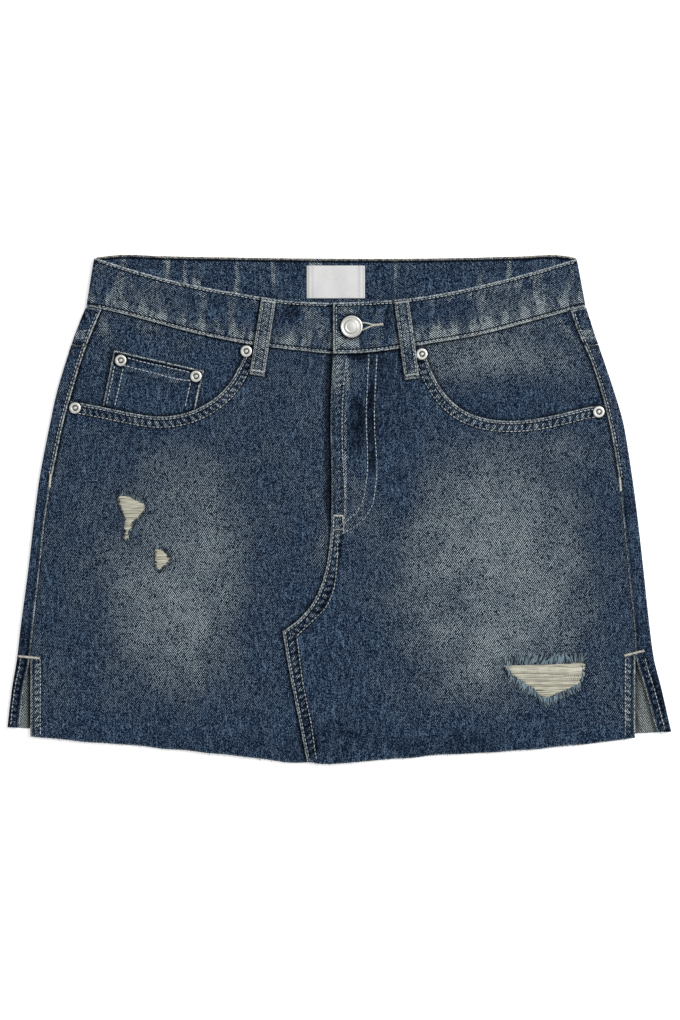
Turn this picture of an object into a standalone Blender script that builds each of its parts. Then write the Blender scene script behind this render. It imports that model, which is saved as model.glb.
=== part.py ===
"""Five-pocket denim mini skirt, buttoned and laid flat on its back.

The frame: X runs to the wearer's left, Y up to the waist and Z out of the skirt's front. The skirt
lies on the plane Z = 0 with its origin under the middle of its outline. Sizes here are millimetres.

Each cut piece of cloth is a grid of points for its outer face and one for its inner face, closed into
one solid. The front pieces are patches between their four cut edges, lifted to the height of the cloth
there. The back pieces and the waistband turn round the side folds onto the front.
"""

import math
from collections import namedtuple

import bmesh
import bpy
import numpy as np
from mathutils import Vector

MM = 0.001

# Cloth and gaps
CLOTH = 1.1
BAND_CLOTH = 2.2
POCKET_CLOTH = 0.9
LOOP_CLOTH = 1.7
LABEL_CLOTH = 0.4
GAP = 0.3
HALF_GAP = GAP / 2

# The laid stack: how high the front lies, and what stands above or sinks below it
FOLD_RADIUS = 2.0
BODY_TOP = 2 * FOLD_RADIUS
BAND_RISE = 0.9
BAND_FOLD_RADIUS = (BODY_TOP + BAND_RISE) / 2
LAP_SHARE = (CLOTH + GAP) / 2
BAND_LAP_RISE = BAND_CLOTH + GAP
FACING_DROP = CLOTH + GAP
FACING_RISE_SHARE = 0.6
FACING_RISE = (6.0, 45.0)
LOOP_ARCH = 0.8

# Below the pockets the front sinks onto the back, with soft ripples towards the hem
SINK = 0.8
SINK_FROM, SINK_TO = 55.0, -20.0
RIPPLE = 1.1
RIPPLE_LENGTH = 118.0
RIPPLE_SHIFT = 22.0
RIPPLE_FROM, RIPPLE_TO = 10.0, -190.0
SWELL_FADES = (0.72, 0.92)

# Fly and overlap
LAP_WIDTH = 20.0
LAP_RISE_FADES = (23.0, 48.0)
UNDERLAP_SINKS = (-14.0, -2.0)
BAND_LAP_FADES = (23.0, 72.0)
LOOP_LEAVES_BAND = (-2.5, -11.0)

# Heights along the skirt
WAIST_SEAM_BACK = 153.3
WAIST_SEAM_FOLD = 156.5
YOKE_SEAM_CENTRE = 95.0
YOKE_SEAM_SIDE = 127.0
VENT_TOP = -113.0
BACK_HEM_CENTRE = -184.0

# Hardware
BUTTON_DIAMETER = 17.0
RIVET_DIAMETER = 9.0
TURNED_STEPS = 28

# Cells of the point grids
WAIST_CELLS, SCOOP_CELLS = 6, 16
FLY_CELLS, LEG_CELLS = 16, 8
SEAM_CELLS, VENT_CELLS = 18, 6
FACING_CELLS, FACING_ROWS = 14, 8
COIN_CELLS, COIN_ROWS = 8, 5
UNDER_CELLS, FOLD_CELLS, STRIP_CELLS = 10, 6, 2
YOKE_ROWS, BACK_ROWS, BACK_VENT_ROWS = 4, 16, 5
BAND_CELLS, BAND_BACK_CELLS, BAND_ROWS = 18, 22, 4
LOOP_CELLS, LOOP_ROWS = 3, 16
LABEL_CELLS, LABEL_ROWS = 6, 3
FINE_CELLS = 160

SideRow = namedtuple("SideRow", "y fold_left seam_left fold_right seam_right")
SIDE_ROWS = [
    SideRow(-172.0, 256.0, 244.3, 256.4, 246.8),
    SideRow(-139.2, 248.7, 235.5, 252.6, 243.2),
    SideRow(-113.0, 242.2, 228.0, 248.3, 238.1),
    SideRow(-93.0, 239.5, 226.8, 246.0, 236.0),
    SideRow(-46.8, 234.5, 222.1, 239.9, 230.8),
    SideRow(-0.6, 229.1, 217.5, 234.5, 225.5),
    SideRow(22.5, 226.0, 215.2, 231.4, 221.8),
    SideRow(45.6, 222.5, 211.6, 227.2, 217.1),
    SideRow(68.7, 218.3, 207.1, 222.5, 212.1),
    SideRow(91.8, 211.4, 201.0, 217.5, 205.6),
    SideRow(114.9, 203.7, 193.3, 210.6, 198.7),
    SideRow(138.0, 196.0, 183.1, 202.9, 190.0),
    SideRow(156.5, 189.8, 176.7, 195.2, 182.1),
]

Side = namedtuple("Side", "name sign fold seam vent_edge back_hem waist_corner_x band_folds")
LEFT = Side("left", 1, "fold_left", "seam_left", 227.8, -171.5, 177.8, (189.8, 183.0))
RIGHT = Side("right", -1, "fold_right", "seam_right", 238.1, -168.0, 183.0, (195.2, 189.2))

# Lower edge of the waistband's front, from the overlap's end outwards: (x, y)
WAIST_SEAM = {
    "left": [(-5.0, 119.8), (19.6, 120.5), (45.0, 123.6), (76.6, 128.8), (103.6, 133.4),
             (147.5, 144.7), (186.65, 155.6)],
    "right": [(20.0, 120.5), (-3.5, 119.8), (-30.4, 122.2), (-68.1, 126.9), (-113.6, 136.1),
              (-146.7, 145.0), (-176.7, 152.8), (-192.05, 155.9)],
}
# Upper edge of the waistband's front, from the overlap's end outwards: (x, y)
WAIST_TOP = {
    "left": [(-5.0, 158.8), (21.2, 159.7), (42.0, 161.0), (76.6, 165.6), (118.2, 174.6),
             (147.5, 182.3), (179.85, 191.9)],
    "right": [(20.0, 159.7), (-1.2, 158.8), (-22.7, 159.4), (-45.8, 161.0), (-68.1, 164.7),
              (-112.0, 172.4), (-138.2, 178.4), (-162.9, 185.5), (-186.05, 192.8)],
}
# Upper edge of the waistband's back, lying below: (x, y)
WAIST_TOP_BACK = [(-188.0, 194.2), (-169.0, 196.1), (-138.0, 195.2), (-76.6, 194.0), (0.0, 193.2),
                  (92.8, 193.7), (139.0, 194.9), (169.8, 195.8), (181.0, 194.2)]
# Scooped pocket opening, from the waist seam to the side seam: (x, y)
SCOOP = {
    "left": [(63.8, 126.2), (67.4, 115.2), (74.1, 99.8), (82.8, 86.9), (94.6, 76.8), (110.9, 70.3),
             (127.0, 68.1), (147.5, 69.1), (169.8, 73.3), (190.0, 78.2), (203.8, 80.3)],
    "right": [(-71.5, 126.8), (-73.0, 119.1), (-77.7, 109.0), (-84.6, 97.3), (-94.3, 86.9),
              (-105.2, 79.6), (-119.0, 73.9), (-139.8, 71.4), (-160.2, 74.1), (-180.9, 78.4),
              (-207.7, 83.4)],
}
# Lower edge of the facing, hidden under the front: (x, y)
FACING_FOOT = {
    "left": [(58.0, 96.0), (72.0, 70.0), (96.0, 55.0), (130.0, 49.0), (168.0, 53.0), (208.7, 61.0)],
    "right": [(-62.0, 97.0), (-79.0, 70.0), (-104.0, 56.0), (-140.0, 51.0), (-176.0, 56.0),
              (-213.0, 64.0)],
}
FACING_TOP_START_X = {"left": 50.0, "right": -55.0}

# Free edge of the overlap, down the fly and round to its corner, then down to the hem: (x, y)
LAP_FLY = [(-5.0, 119.5), (-6.2, 99.5), (-7.0, 71.8), (-6.4, 33.3), (-6.4, -5.2), (-7.3, -23.7),
           (-9.3, -39.5), (-13.9, -57.6), (-21.3, -73.0), (-31.4, -84.9), (-43.9, -94.2)]
LAP_LEG = [(-43.9, -94.2), (-37.7, -130.7), (-31.4, -162.3), (-25.0, -194.6)]

# Raw hems of the front, from the overlap outwards: (x, y)
HEM = {
    "left": [(-25.0, -194.6), (-14.0, -196.2), (0.4, -195.8), (31.2, -193.1), (62.0, -190.5),
             (123.6, -186.7), (185.2, -181.4), (227.8, -176.0)],
    "right": [(-5.0, -194.2), (-30.4, -195.2), (-61.2, -192.3), (-92.0, -188.6), (-153.6, -182.5),
              (-184.4, -180.0), (-238.1, -175.0)],
}

# Coin pocket on the facing of the wearer's right: its upper corners and its sides' feet, (x, y)
COIN_TOP = [(-173.6, 122.4), (-104.3, 106.6)]
COIN_FOOT_X = (-182.6, -111.0)

BELT_LOOP_WIDTH = 11.4
BELT_LOOPS = {"left": [(47.4, 161.6), (55.9, 100.2)], "right": [(-54.3, 162.4), (-63.6, 103.0)]}
BUTTON_AT = (9.3, 140.3)
LABEL_CORNERS = [(-25.3, 162.4), (19.6, 187.7)]

Rivet = namedtuple("Rivet", "name x y seat")
RIVETS = [
    Rivet("rivet_pocket_inner_left", 63.4, 119.4, "front_left"),
    Rivet("rivet_pocket_outer_left", 199.6, 74.9, "front_left"),
    Rivet("rivet_pocket_inner_right", -71.8, 121.6, "front_right"),
    Rivet("rivet_pocket_outer_right", -203.6, 77.9, "front_right"),
    Rivet("rivet_coin_inner", -110.5, 102.3, "coin"),
    Rivet("rivet_coin_outer", -168.4, 114.5, "coin"),
]


# ---------------------------------------------------------------- lines and patches in plan

def ease(start, end, value):
    """0 at start, 1 at end, with a smooth rise between; start may be the larger."""
    share = np.clip((value - start) / (end - start), 0, 1)
    return share * share * (3 - 2 * share)


def curve_value(knots, values, at):
    """Value at `at` of the smooth curve through the values, for knots that rise."""
    knots = np.asarray(knots, float)
    values = np.asarray(values, float)
    at = np.clip(at, knots[0], knots[-1])
    slopes = np.gradient(values, knots)
    low = np.clip(np.searchsorted(knots, at, side="right") - 1, 0, len(knots) - 2)
    width = knots[low + 1] - knots[low]
    t = (at - knots[low]) / width
    start = (1 + 2 * t) * (1 - t) ** 2 * values[low] + t * (1 - t) ** 2 * width * slopes[low]
    end = t * t * (3 - 2 * t) * values[low + 1] + t * t * (t - 1) * width * slopes[low + 1]
    return start + end


def travelled(points):
    """Length run at each point of a line."""
    steps = np.linalg.norm(np.diff(points, axis=0), axis=1)
    return np.concatenate([[0], np.cumsum(steps)])


def smooth_line(points, cells):
    """The smooth curve through the points, as cells + 1 points at even spacing."""
    points = np.array(points, float)
    chord = travelled(points)
    fine = np.linspace(0, chord[-1], 40 * len(points))
    dense = np.stack([curve_value(chord, points[:, axis], fine) for axis in (0, 1)], axis=1)
    length = travelled(dense)
    even = np.linspace(0, length[-1], cells + 1)
    return np.stack([np.interp(even, length, dense[:, axis]) for axis in (0, 1)], axis=1)


def chain(*lines):
    """One line out of several, each starting where the last one ends."""
    return np.vstack([lines[0]] + [line[1:] for line in lines[1:]])


def patch(top, bottom, left, right):
    """Grid of plan points that fills the four edges of a cut piece (rows, columns, 2)."""
    along = [travelled(line) / travelled(line)[-1] for line in (top, bottom, left, right)]
    u = ((along[0] + along[1]) / 2)[None, :, None]
    v = ((along[2] + along[3]) / 2)[:, None, None]
    ruled_down = (1 - v) * top[None] + v * bottom[None]
    ruled_across = (1 - u) * left[:, None] + u * right[:, None]
    corners = (1 - v) * ((1 - u) * top[0] + u * top[-1]) + v * ((1 - u) * bottom[0] + u * bottom[-1])
    return ruled_down + ruled_across - corners


def side_value(column, y):
    """Distance from the middle of a side fold or side seam at height y."""
    return curve_value([row.y for row in SIDE_ROWS], [getattr(row, column) for row in SIDE_ROWS], y)


def lap_edge(y):
    """X of the overlap's free edge at height y."""
    line = np.array(LAP_FLY + LAP_LEG[1:])[::-1]
    return np.interp(y, line[:, 1], line[:, 0])


def shifted(points, distance):
    """The points, moved along X."""
    return [(x + distance, y) for x, y in points]


def edge_y(table, side, x):
    """Height at x of one of the waistband's front edges."""
    line = np.array(table[side.name]) * (side.sign, 1)
    return curve_value(line[:, 0], line[:, 1], x * side.sign)


def waist_line(table, side, start_x, end_x, cells, below=0.0):
    """Points of a waistband edge between two places, or of the cut edge that lies below it."""
    x = np.linspace(start_x, end_x, cells + 1)
    return np.stack([x, edge_y(table, side, x) - below], axis=1)


def scoop_line(side, cells):
    """The scooped edge of the front, from just below the waistband to the side seam."""
    start_x = SCOOP[side.name][0][0]
    start = (start_x, float(edge_y(WAIST_SEAM, side, start_x)) - GAP)
    return smooth_line([start] + SCOOP[side.name][1:], cells)


def distance_to(line, x, y):
    """Distance in plan of each point to the nearest point of a finely drawn line."""
    return np.min(np.hypot(x[..., None] - line[:, 0], y[..., None] - line[:, 1]), axis=-1)


# ---------------------------------------------------------------- heights of the laid cloth

def body_height(x, y):
    """Top of the front cloth where nothing laps."""
    fold = np.where(x > 0, side_value(LEFT.fold, y), side_value(RIGHT.fold, y))
    inward = 1 - ease(*SWELL_FADES, np.abs(x) / fold)
    wave = 0.5 + 0.5 * np.cos(2 * math.pi * (x - RIPPLE_SHIFT) / RIPPLE_LENGTH)
    swell = RIPPLE * wave * ease(RIPPLE_FROM, RIPPLE_TO, y) - SINK * ease(SINK_FROM, SINK_TO, y)
    return BODY_TOP + inward * swell


def front_left_height(x, y):
    """The overlapping front rises over the other one beside the fly."""
    return body_height(x, y) + LAP_SHARE * (1 - ease(*LAP_RISE_FADES, x - lap_edge(y)))


def front_right_height(x, y):
    """The front below sinks where the other one covers it."""
    return body_height(x, y) - LAP_SHARE * ease(*UNDERLAP_SINKS, x - lap_edge(y))


def band_height(side, x, y):
    """Top of the front waistband, whose left end lies over its right end."""
    lap = BAND_LAP_RISE * (1 - ease(*BAND_LAP_FADES, x)) if side is LEFT else 0.0
    return body_height(x, y) + BAND_RISE + lap


def facing_height(side, x, y):
    """The pocket facing lies under the scoop's edge and rises to the seams around it."""
    scoop = scoop_line(side, FINE_CELLS)
    depth = np.interp(np.abs(x), np.abs(scoop[:, 0]), scoop[:, 1])
    above = np.where(y > depth, distance_to(scoop, x, y), 0)
    return body_height(x, y) - FACING_DROP * (1 - FACING_RISE_SHARE * ease(*FACING_RISE, above))


def coin_height(x, y):
    """The coin pocket lies on the facing."""
    return facing_height(RIGHT, x, y) + GAP + POCKET_CLOTH


SEATS = {"front_left": front_left_height, "front_right": front_right_height, "coin": coin_height}


# ---------------------------------------------------------------- solids

def new_material(name, colour, roughness, metallic=0.0):
    """A Principled material in one colour."""
    material = bpy.data.materials.new(name)
    material.use_nodes = True
    shader = material.node_tree.nodes["Principled BSDF"]
    shader.inputs["Base Color"].default_value = (*colour, 1)
    shader.inputs["Roughness"].default_value = roughness
    shader.inputs["Metallic"].default_value = metallic
    return material


def add_object(name, mesh_data, material):
    """Makes a smooth-shaded object of a closed bmesh, with its faces pointing out."""
    bmesh.ops.recalc_face_normals(mesh_data, faces=mesh_data.faces)
    if mesh_data.calc_volume(signed=True) < 0:
        bmesh.ops.reverse_faces(mesh_data, faces=mesh_data.faces)
    mesh = bpy.data.meshes.new(name)
    mesh_data.to_mesh(mesh)
    mesh_data.free()
    mesh.materials.append(material)
    mesh.shade_smooth()
    mesh.set_sharp_from_angle(angle=math.radians(40))
    obj = bpy.data.objects.new(name, mesh)
    bpy.context.scene.collection.objects.link(obj)
    return obj


def cloth_solid(name, outer, inner, material):
    """Closed solid between the two faces of a piece, each a grid (rows, columns, 3)."""
    rows, columns = outer.shape[:2]
    mesh_data = bmesh.new()
    bmesh.ops.create_grid(mesh_data, x_segments=columns - 1, y_segments=rows - 1, size=1)
    place = mesh_data.verts.layers.int.new("place")
    for index, vert in enumerate(mesh_data.verts):
        vert[place] = index
    grown = bmesh.ops.extrude_face_region(mesh_data, geom=mesh_data.faces[:], use_keep_orig=True)
    outside = {item for item in grown["geom"] if isinstance(item, bmesh.types.BMVert)}
    faces = (inner.reshape(-1, 3), outer.reshape(-1, 3))
    for vert in mesh_data.verts:
        vert.co = Vector(faces[vert in outside][vert[place]]) * MM
    return add_object(name, mesh_data, material)


def laid_solid(name, plan, height, thickness, material):
    """A piece whose outer face lies at height(x, y) over the plan grid."""
    x, y = plan[..., 0], plan[..., 1]
    top = height(x, y)
    outer = np.stack([x, y, top], axis=-1)
    inner = np.stack([x, y, top - thickness], axis=-1)
    return cloth_solid(name, outer, inner, material)


def turned_solid(name, profile, at, material):
    """Solid of revolution about Z from a profile of (radius, z) that starts and ends on the axis."""
    mesh_data = bmesh.new()
    points = [mesh_data.verts.new(Vector((radius, 0, z)) * MM) for radius, z in profile]
    lines = [mesh_data.edges.new(pair) for pair in zip(points, points[1:])]
    bmesh.ops.spin(mesh_data, geom=points + lines, axis=(0, 0, 1), cent=(0, 0, 0),
                   steps=TURNED_STEPS, angle=2 * math.pi, use_merge=True)
    bmesh.ops.remove_doubles(mesh_data, verts=mesh_data.verts, dist=1e-6)
    obj = add_object(name, mesh_data, material)
    obj.location = Vector(at) * MM
    return obj


# ---------------------------------------------------------------- cut pieces

def build_front(side, height, material):
    """A front panel: waist seam, pocket scoop, side seam, vent edge, hem and fly edge."""
    shift = 0.0 if side is LEFT else LAP_WIDTH
    fly = smooth_line(shifted(LAP_FLY, shift), FLY_CELLS)
    leg = smooth_line(shifted(LAP_LEG, shift), LEG_CELLS)
    scoop = scoop_line(side, SCOOP_CELLS)
    waist = waist_line(WAIST_SEAM, side, fly[0][0], scoop[0][0], WAIST_CELLS, below=GAP)
    waist[0] = fly[0]
    seam_rows = np.linspace(scoop[-1][1], VENT_TOP, SEAM_CELLS + 1)
    seam = np.stack([side.sign * (side_value(side.seam, seam_rows) - HALF_GAP), seam_rows], axis=1)
    vent = smooth_line([tuple(seam[-1]), (side.sign * side.vent_edge, VENT_TOP - 12),
                        HEM[side.name][-1]], VENT_CELLS)
    hem = smooth_line(HEM[side.name], WAIST_CELLS + SCOOP_CELLS)
    hem[0] = leg[-1]
    scoop[-1] = seam[0]
    plan = patch(chain(waist, scoop), hem, chain(fly, leg), chain(seam, vent))
    return laid_solid("front_" + side.name, plan, height, CLOTH, material)


def build_facing(side, material):
    """The pocket facing that shows in the scoop and runs on under the front."""
    foot = FACING_FOOT[side.name]
    waist = waist_line(WAIST_SEAM, side, FACING_TOP_START_X[side.name],
                       side.sign * side.waist_corner_x, FACING_CELLS, below=GAP)
    seam_rows = np.linspace(waist[-1][1], foot[-1][1], FACING_ROWS + 1)
    seam = np.stack([side.sign * (side_value(side.seam, seam_rows) - HALF_GAP), seam_rows], axis=1)
    waist[-1] = seam[0]
    bottom = smooth_line(foot, FACING_CELLS)
    bottom[-1] = seam[-1]
    plan = patch(waist, bottom, smooth_line([waist[0], foot[0]], FACING_ROWS), seam)
    return laid_solid("pocket_facing_" + side.name, plan, lambda x, y: facing_height(side, x, y),
                      CLOTH, material)


def build_coin_pocket(material):
    """The coin pocket, whose foot is hidden by the scoop's edge."""
    scoop = scoop_line(RIGHT, FINE_CELLS)[::-1]
    foot_x = np.linspace(*COIN_FOOT_X, COIN_CELLS + 1)
    foot = np.stack([foot_x, np.interp(foot_x, scoop[:, 0], scoop[:, 1]) + 2 * GAP], axis=1)
    left = smooth_line([COIN_TOP[0], tuple(foot[0])], COIN_ROWS)
    right = smooth_line([COIN_TOP[1], tuple(foot[-1])], COIN_ROWS)
    plan = patch(smooth_line(COIN_TOP, COIN_CELLS), foot, left, right)
    return laid_solid("coin_pocket", plan, coin_height, POCKET_CLOTH, material)


def edge_heights(centre, fold_under, fold_over, strip):
    """Height of a crosswise edge at each column: under the skirt, round the fold, over the strip."""
    under = np.linspace(centre, fold_under, UNDER_CELLS + 1)
    turn = np.linspace(fold_under, fold_over, FOLD_CELLS + 1)[1:-1]
    over = np.linspace(fold_over, strip, STRIP_CELLS + 1)
    return np.concatenate([under, turn, over])


def wrapped_face(side, y, inset):
    """One face of a back piece at heights y (rows, columns), `inset` in from its outer face."""
    fold = side_value(side.fold, y)
    turn = fold - FOLD_RADIUS
    edge = side_value(side.seam, y) + HALF_GAP
    under = np.linspace(0, 1, UNDER_CELLS + 1)
    angle = np.linspace(0, math.pi, FOLD_CELLS + 1)[1:-1]
    strip = np.linspace(0, 1, STRIP_CELLS + 1)
    first, last = UNDER_CELLS + 1, UNDER_CELLS + FOLD_CELLS
    radius = FOLD_RADIUS - inset
    x = np.empty_like(y)
    z = np.empty_like(y)
    x[:, :first] = HALF_GAP + (turn[:, :first] - HALF_GAP) * under
    z[:, :first] = inset
    x[:, first:last] = turn[:, first:last] + radius * np.sin(angle)
    z[:, first:last] = FOLD_RADIUS - radius * np.cos(angle)
    x[:, last:] = turn[:, last:] + (edge - turn)[:, last:] * strip
    z[:, last:] = BODY_TOP - inset
    return np.stack([side.sign * x, y, z], axis=-1)


def build_wrapped(name, side, levels, material):
    """A back piece between crosswise edges; levels holds (edge heights, cells to the next one)."""
    bands = []
    for (upper, cells), (lower, _) in zip(levels, levels[1:]):
        share = np.linspace(0, 1, cells + 1)[bool(bands):, None]
        bands.append(upper + (lower - upper) * share)
    y = np.vstack(bands)
    return cloth_solid(name, wrapped_face(side, y, 0.0), wrapped_face(side, y, CLOTH), material)


def build_yoke(side, material):
    """The back yoke, from the waistband down to its V seam."""
    over, corner = (float(edge_y(WAIST_SEAM, side, side.sign * x))
                    for x in (side.band_folds[0] - BAND_FOLD_RADIUS, side.waist_corner_x))
    waist = edge_heights(WAIST_SEAM_BACK, WAIST_SEAM_FOLD, over, corner) - GAP
    seam = edge_heights(YOKE_SEAM_CENTRE, YOKE_SEAM_SIDE, YOKE_SEAM_SIDE, YOKE_SEAM_SIDE) + HALF_GAP
    build_wrapped("yoke_" + side.name, side, [(waist, YOKE_ROWS), (seam, 0)], material)


def build_back(side, material):
    """The back panel, from the yoke seam to the hem, with its vent edge free at the side."""
    seam = edge_heights(YOKE_SEAM_CENTRE, YOKE_SEAM_SIDE, YOKE_SEAM_SIDE, YOKE_SEAM_SIDE) - HALF_GAP
    vent = edge_heights(VENT_TOP, VENT_TOP, VENT_TOP, VENT_TOP)
    hem = edge_heights(BACK_HEM_CENTRE, side.back_hem, side.back_hem, side.back_hem)
    levels = [(seam, BACK_ROWS), (vent, BACK_VENT_ROWS), (hem, 0)]
    build_wrapped("back_" + side.name, side, levels, material)


def band_front(side, across, inset):
    """Columns of the front waistband from its end to the side fold, as (rows, columns, 3)."""
    seam, top = (waist_line(table, side, table[side.name][0][0], table[side.name][-1][0], BAND_CELLS)
                 for table in (WAIST_SEAM, WAIST_TOP))
    plan = seam[None] + (top - seam)[None] * across[:, None, None]
    height = band_height(side, plan[..., 0], plan[..., 1]) - inset
    height[:, -1] = 2 * BAND_FOLD_RADIUS - inset
    return np.dstack([plan, height])


def band_back(across, inset):
    """Columns of the back waistband from the wearer's left fold to the right one."""
    reach = {side.name: side.band_folds[0] + (side.band_folds[1] - side.band_folds[0]) * across
             - BAND_FOLD_RADIUS for side in (LEFT, RIGHT)}
    share = np.linspace(0, 1, BAND_BACK_CELLS + 1)
    x = reach["left"][:, None] - (reach["left"] + reach["right"])[:, None] * share
    outward = np.abs(x) / np.where(x > 0, reach["left"][:, None], reach["right"][:, None])
    seam = WAIST_SEAM_BACK + (WAIST_SEAM_FOLD - WAIST_SEAM_BACK) * outward
    knots = np.array(WAIST_TOP_BACK)
    top = curve_value(knots[:, 0], knots[:, 1], x)
    y = seam + (top - seam) * across[:, None]
    return np.stack([x, y, np.full_like(x, inset)], axis=-1)


def band_turn(start, end, side, across, inset):
    """Columns round a side fold, between the columns start and end."""
    reach = side.band_folds[0] + (side.band_folds[1] - side.band_folds[0]) * across
    radius = BAND_FOLD_RADIUS - inset
    columns = []
    for step in range(1, FOLD_CELLS):
        share = step / FOLD_CELLS
        angle = math.pi * share
        flip = 1 if start[0, 2] > end[0, 2] else -1
        x = side.sign * (reach - BAND_FOLD_RADIUS + radius * math.sin(angle))
        y = start[:, 1] + (end[:, 1] - start[:, 1]) * share
        z = np.full_like(x, BAND_FOLD_RADIUS + flip * radius * math.cos(angle))
        columns.append(np.stack([x, y, z], axis=-1))
    return np.stack(columns, axis=1)


def build_waistband(material):
    """The waistband, one strip right round from the overlap's end to the end that it covers."""
    across = np.linspace(0, 1, BAND_ROWS + 1)
    faces = []
    for inset in (0.0, BAND_CLOTH):
        left = band_front(LEFT, across, inset)
        back = band_back(across, inset)
        right = band_front(RIGHT, across, inset)[:, ::-1]
        turn_left = band_turn(left[:, -1], back[:, 0], LEFT, across, inset)
        turn_right = band_turn(back[:, -1], right[:, 0], RIGHT, across, inset)
        faces.append(np.concatenate([left, turn_left, back, turn_right, right], axis=1))
    return cloth_solid("waistband", faces[0], faces[1], material)


def build_belt_loop(side, panel_height, material):
    """A belt loop: over the waistband, then down to the panel below it."""
    upper, lower = (np.array(point) for point in BELT_LOOPS[side.name])
    along = (lower - upper) / np.linalg.norm(lower - upper)
    across = np.array([-along[1], along[0]])
    centre = upper + (lower - upper) * np.linspace(0, 1, LOOP_ROWS + 1)[:, None]
    half = BELT_LOOP_WIDTH / 2
    offsets = np.linspace(-half, half, LOOP_CELLS + 1)
    plan = centre[:, None] + across * offsets[None, :, None]
    x, y = plan[..., 0], plan[..., 1]
    seam = edge_y(WAIST_SEAM, side, x)
    off_band = ease(*LOOP_LEAVES_BAND, y - seam)
    arch = LOOP_ARCH * np.sin(math.pi * np.clip((upper[1] - y) / (upper[1] - seam), 0, 1))
    under = (1 - off_band) * (band_height(side, x, np.maximum(y, seam)) + arch) \
        + off_band * panel_height(x, y) + GAP
    outer = np.dstack([plan, under + LOOP_CLOTH])
    inner = np.dstack([plan, under])
    return cloth_solid("belt_loop_" + side.name, outer, inner, material)


def build_label(material):
    """The blank woven label on the inside of the back waistband."""
    (left, bottom), (right, top) = LABEL_CORNERS
    columns = np.linspace(left, right, LABEL_CELLS + 1)
    rows = np.linspace(top, bottom, LABEL_ROWS + 1)
    plan = np.dstack(np.meshgrid(columns, rows))
    level = BAND_CLOTH + GAP + LABEL_CLOTH
    return laid_solid("label", plan, lambda x, y: np.full_like(x, level), LABEL_CLOTH, material)


def seat_level(height, x, y, radius):
    """Highest point of the cloth below a round piece."""
    turn = np.linspace(0, 2 * math.pi, 13)
    return float(np.max(height(x + radius * np.cos(turn), y + radius * np.sin(turn)))) + GAP


def build_button(material):
    """The shank button: a rolled rim round a low dome with a raised ring."""
    radius = BUTTON_DIAMETER / 2
    profile = [(0, 0), (radius * 0.55, 0), (radius * 0.9, 0.5), (radius, 1.2), (radius * 0.96, 1.9),
               (radius * 0.86, 2.15), (radius * 0.78, 1.85), (radius * 0.55, 2.2), (radius * 0.48, 2.5),
               (radius * 0.4, 2.3), (radius * 0.2, 2.5), (0, 2.55)]
    x, y = BUTTON_AT
    level = seat_level(lambda a, b: band_height(LEFT, a, b), x, y, radius)
    turned_solid("button", profile, (x, y, level), material)


def build_rivet(rivet, material):
    """A rivet: a low dome with a sunk ring and a nub."""
    radius = RIVET_DIAMETER / 2
    profile = [(0, 0), (radius * 0.92, 0), (radius, 0.3), (radius * 0.9, 0.75), (radius * 0.62, 0.95),
               (radius * 0.46, 0.55), (radius * 0.3, 1.0), (0, 1.2)]
    level = seat_level(SEATS[rivet.seat], rivet.x, rivet.y, radius)
    turned_solid(rivet.name, profile, (rivet.x, rivet.y, level), material)


def main():
    """Clears the scene and builds every piece."""
    for obj in list(bpy.data.objects):
        bpy.data.objects.remove(obj)
    denim = new_material("denim", (0.035, 0.055, 0.085), 0.85)
    denim_band = new_material("denim_band", (0.03, 0.048, 0.075), 0.85)
    steel = new_material("nickel", (0.72, 0.71, 0.69), 0.32, metallic=1.0)
    satin = new_material("label_satin", (0.82, 0.81, 0.78), 0.5)
    for side, height in ((LEFT, front_left_height), (RIGHT, front_right_height)):
        build_front(side, height, denim)
        build_facing(side, denim)
        build_yoke(side, denim)
        build_back(side, denim)
        build_belt_loop(side, height, denim_band)
    build_coin_pocket(denim)
    build_waistband(denim_band)
    build_label(satin)
    build_button(steel)
    for rivet in RIVETS:
        build_rivet(rivet, steel)


main()
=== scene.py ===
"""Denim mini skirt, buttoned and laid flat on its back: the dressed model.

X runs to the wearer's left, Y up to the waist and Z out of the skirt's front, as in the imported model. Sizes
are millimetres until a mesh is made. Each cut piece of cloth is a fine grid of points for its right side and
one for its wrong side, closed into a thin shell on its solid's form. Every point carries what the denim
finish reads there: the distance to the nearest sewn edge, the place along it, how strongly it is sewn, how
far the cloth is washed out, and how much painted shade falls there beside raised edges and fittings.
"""

from __future__ import annotations

import logging
import math
from dataclasses import dataclass, field
from enum import Enum
from typing import Callable, NamedTuple, Sequence

import bpy
import numpy as np
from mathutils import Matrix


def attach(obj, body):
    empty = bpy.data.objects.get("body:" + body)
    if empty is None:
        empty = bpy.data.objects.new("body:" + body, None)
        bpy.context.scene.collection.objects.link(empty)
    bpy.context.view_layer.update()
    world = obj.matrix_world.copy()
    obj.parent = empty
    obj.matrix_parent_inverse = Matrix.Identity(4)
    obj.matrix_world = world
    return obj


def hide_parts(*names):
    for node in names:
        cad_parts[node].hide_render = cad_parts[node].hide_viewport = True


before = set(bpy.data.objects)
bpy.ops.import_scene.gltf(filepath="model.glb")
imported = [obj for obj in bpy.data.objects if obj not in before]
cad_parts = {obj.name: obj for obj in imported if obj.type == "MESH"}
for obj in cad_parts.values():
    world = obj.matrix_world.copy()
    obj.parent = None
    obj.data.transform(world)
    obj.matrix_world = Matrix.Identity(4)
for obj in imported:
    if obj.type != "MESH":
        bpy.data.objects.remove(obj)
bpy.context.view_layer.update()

LOG = logging.getLogger("skirt")
Array = np.ndarray
Point = tuple[float, float]
Line = Sequence[Point]
Colour = tuple[float, float, float]
Surface = Callable[[Array, Array], Array]
Thing = bpy.types.Object
Material = bpy.types.Material
MM = 0.001
SEED = 7

# ---- sizes shared by the pieces, in mm

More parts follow.
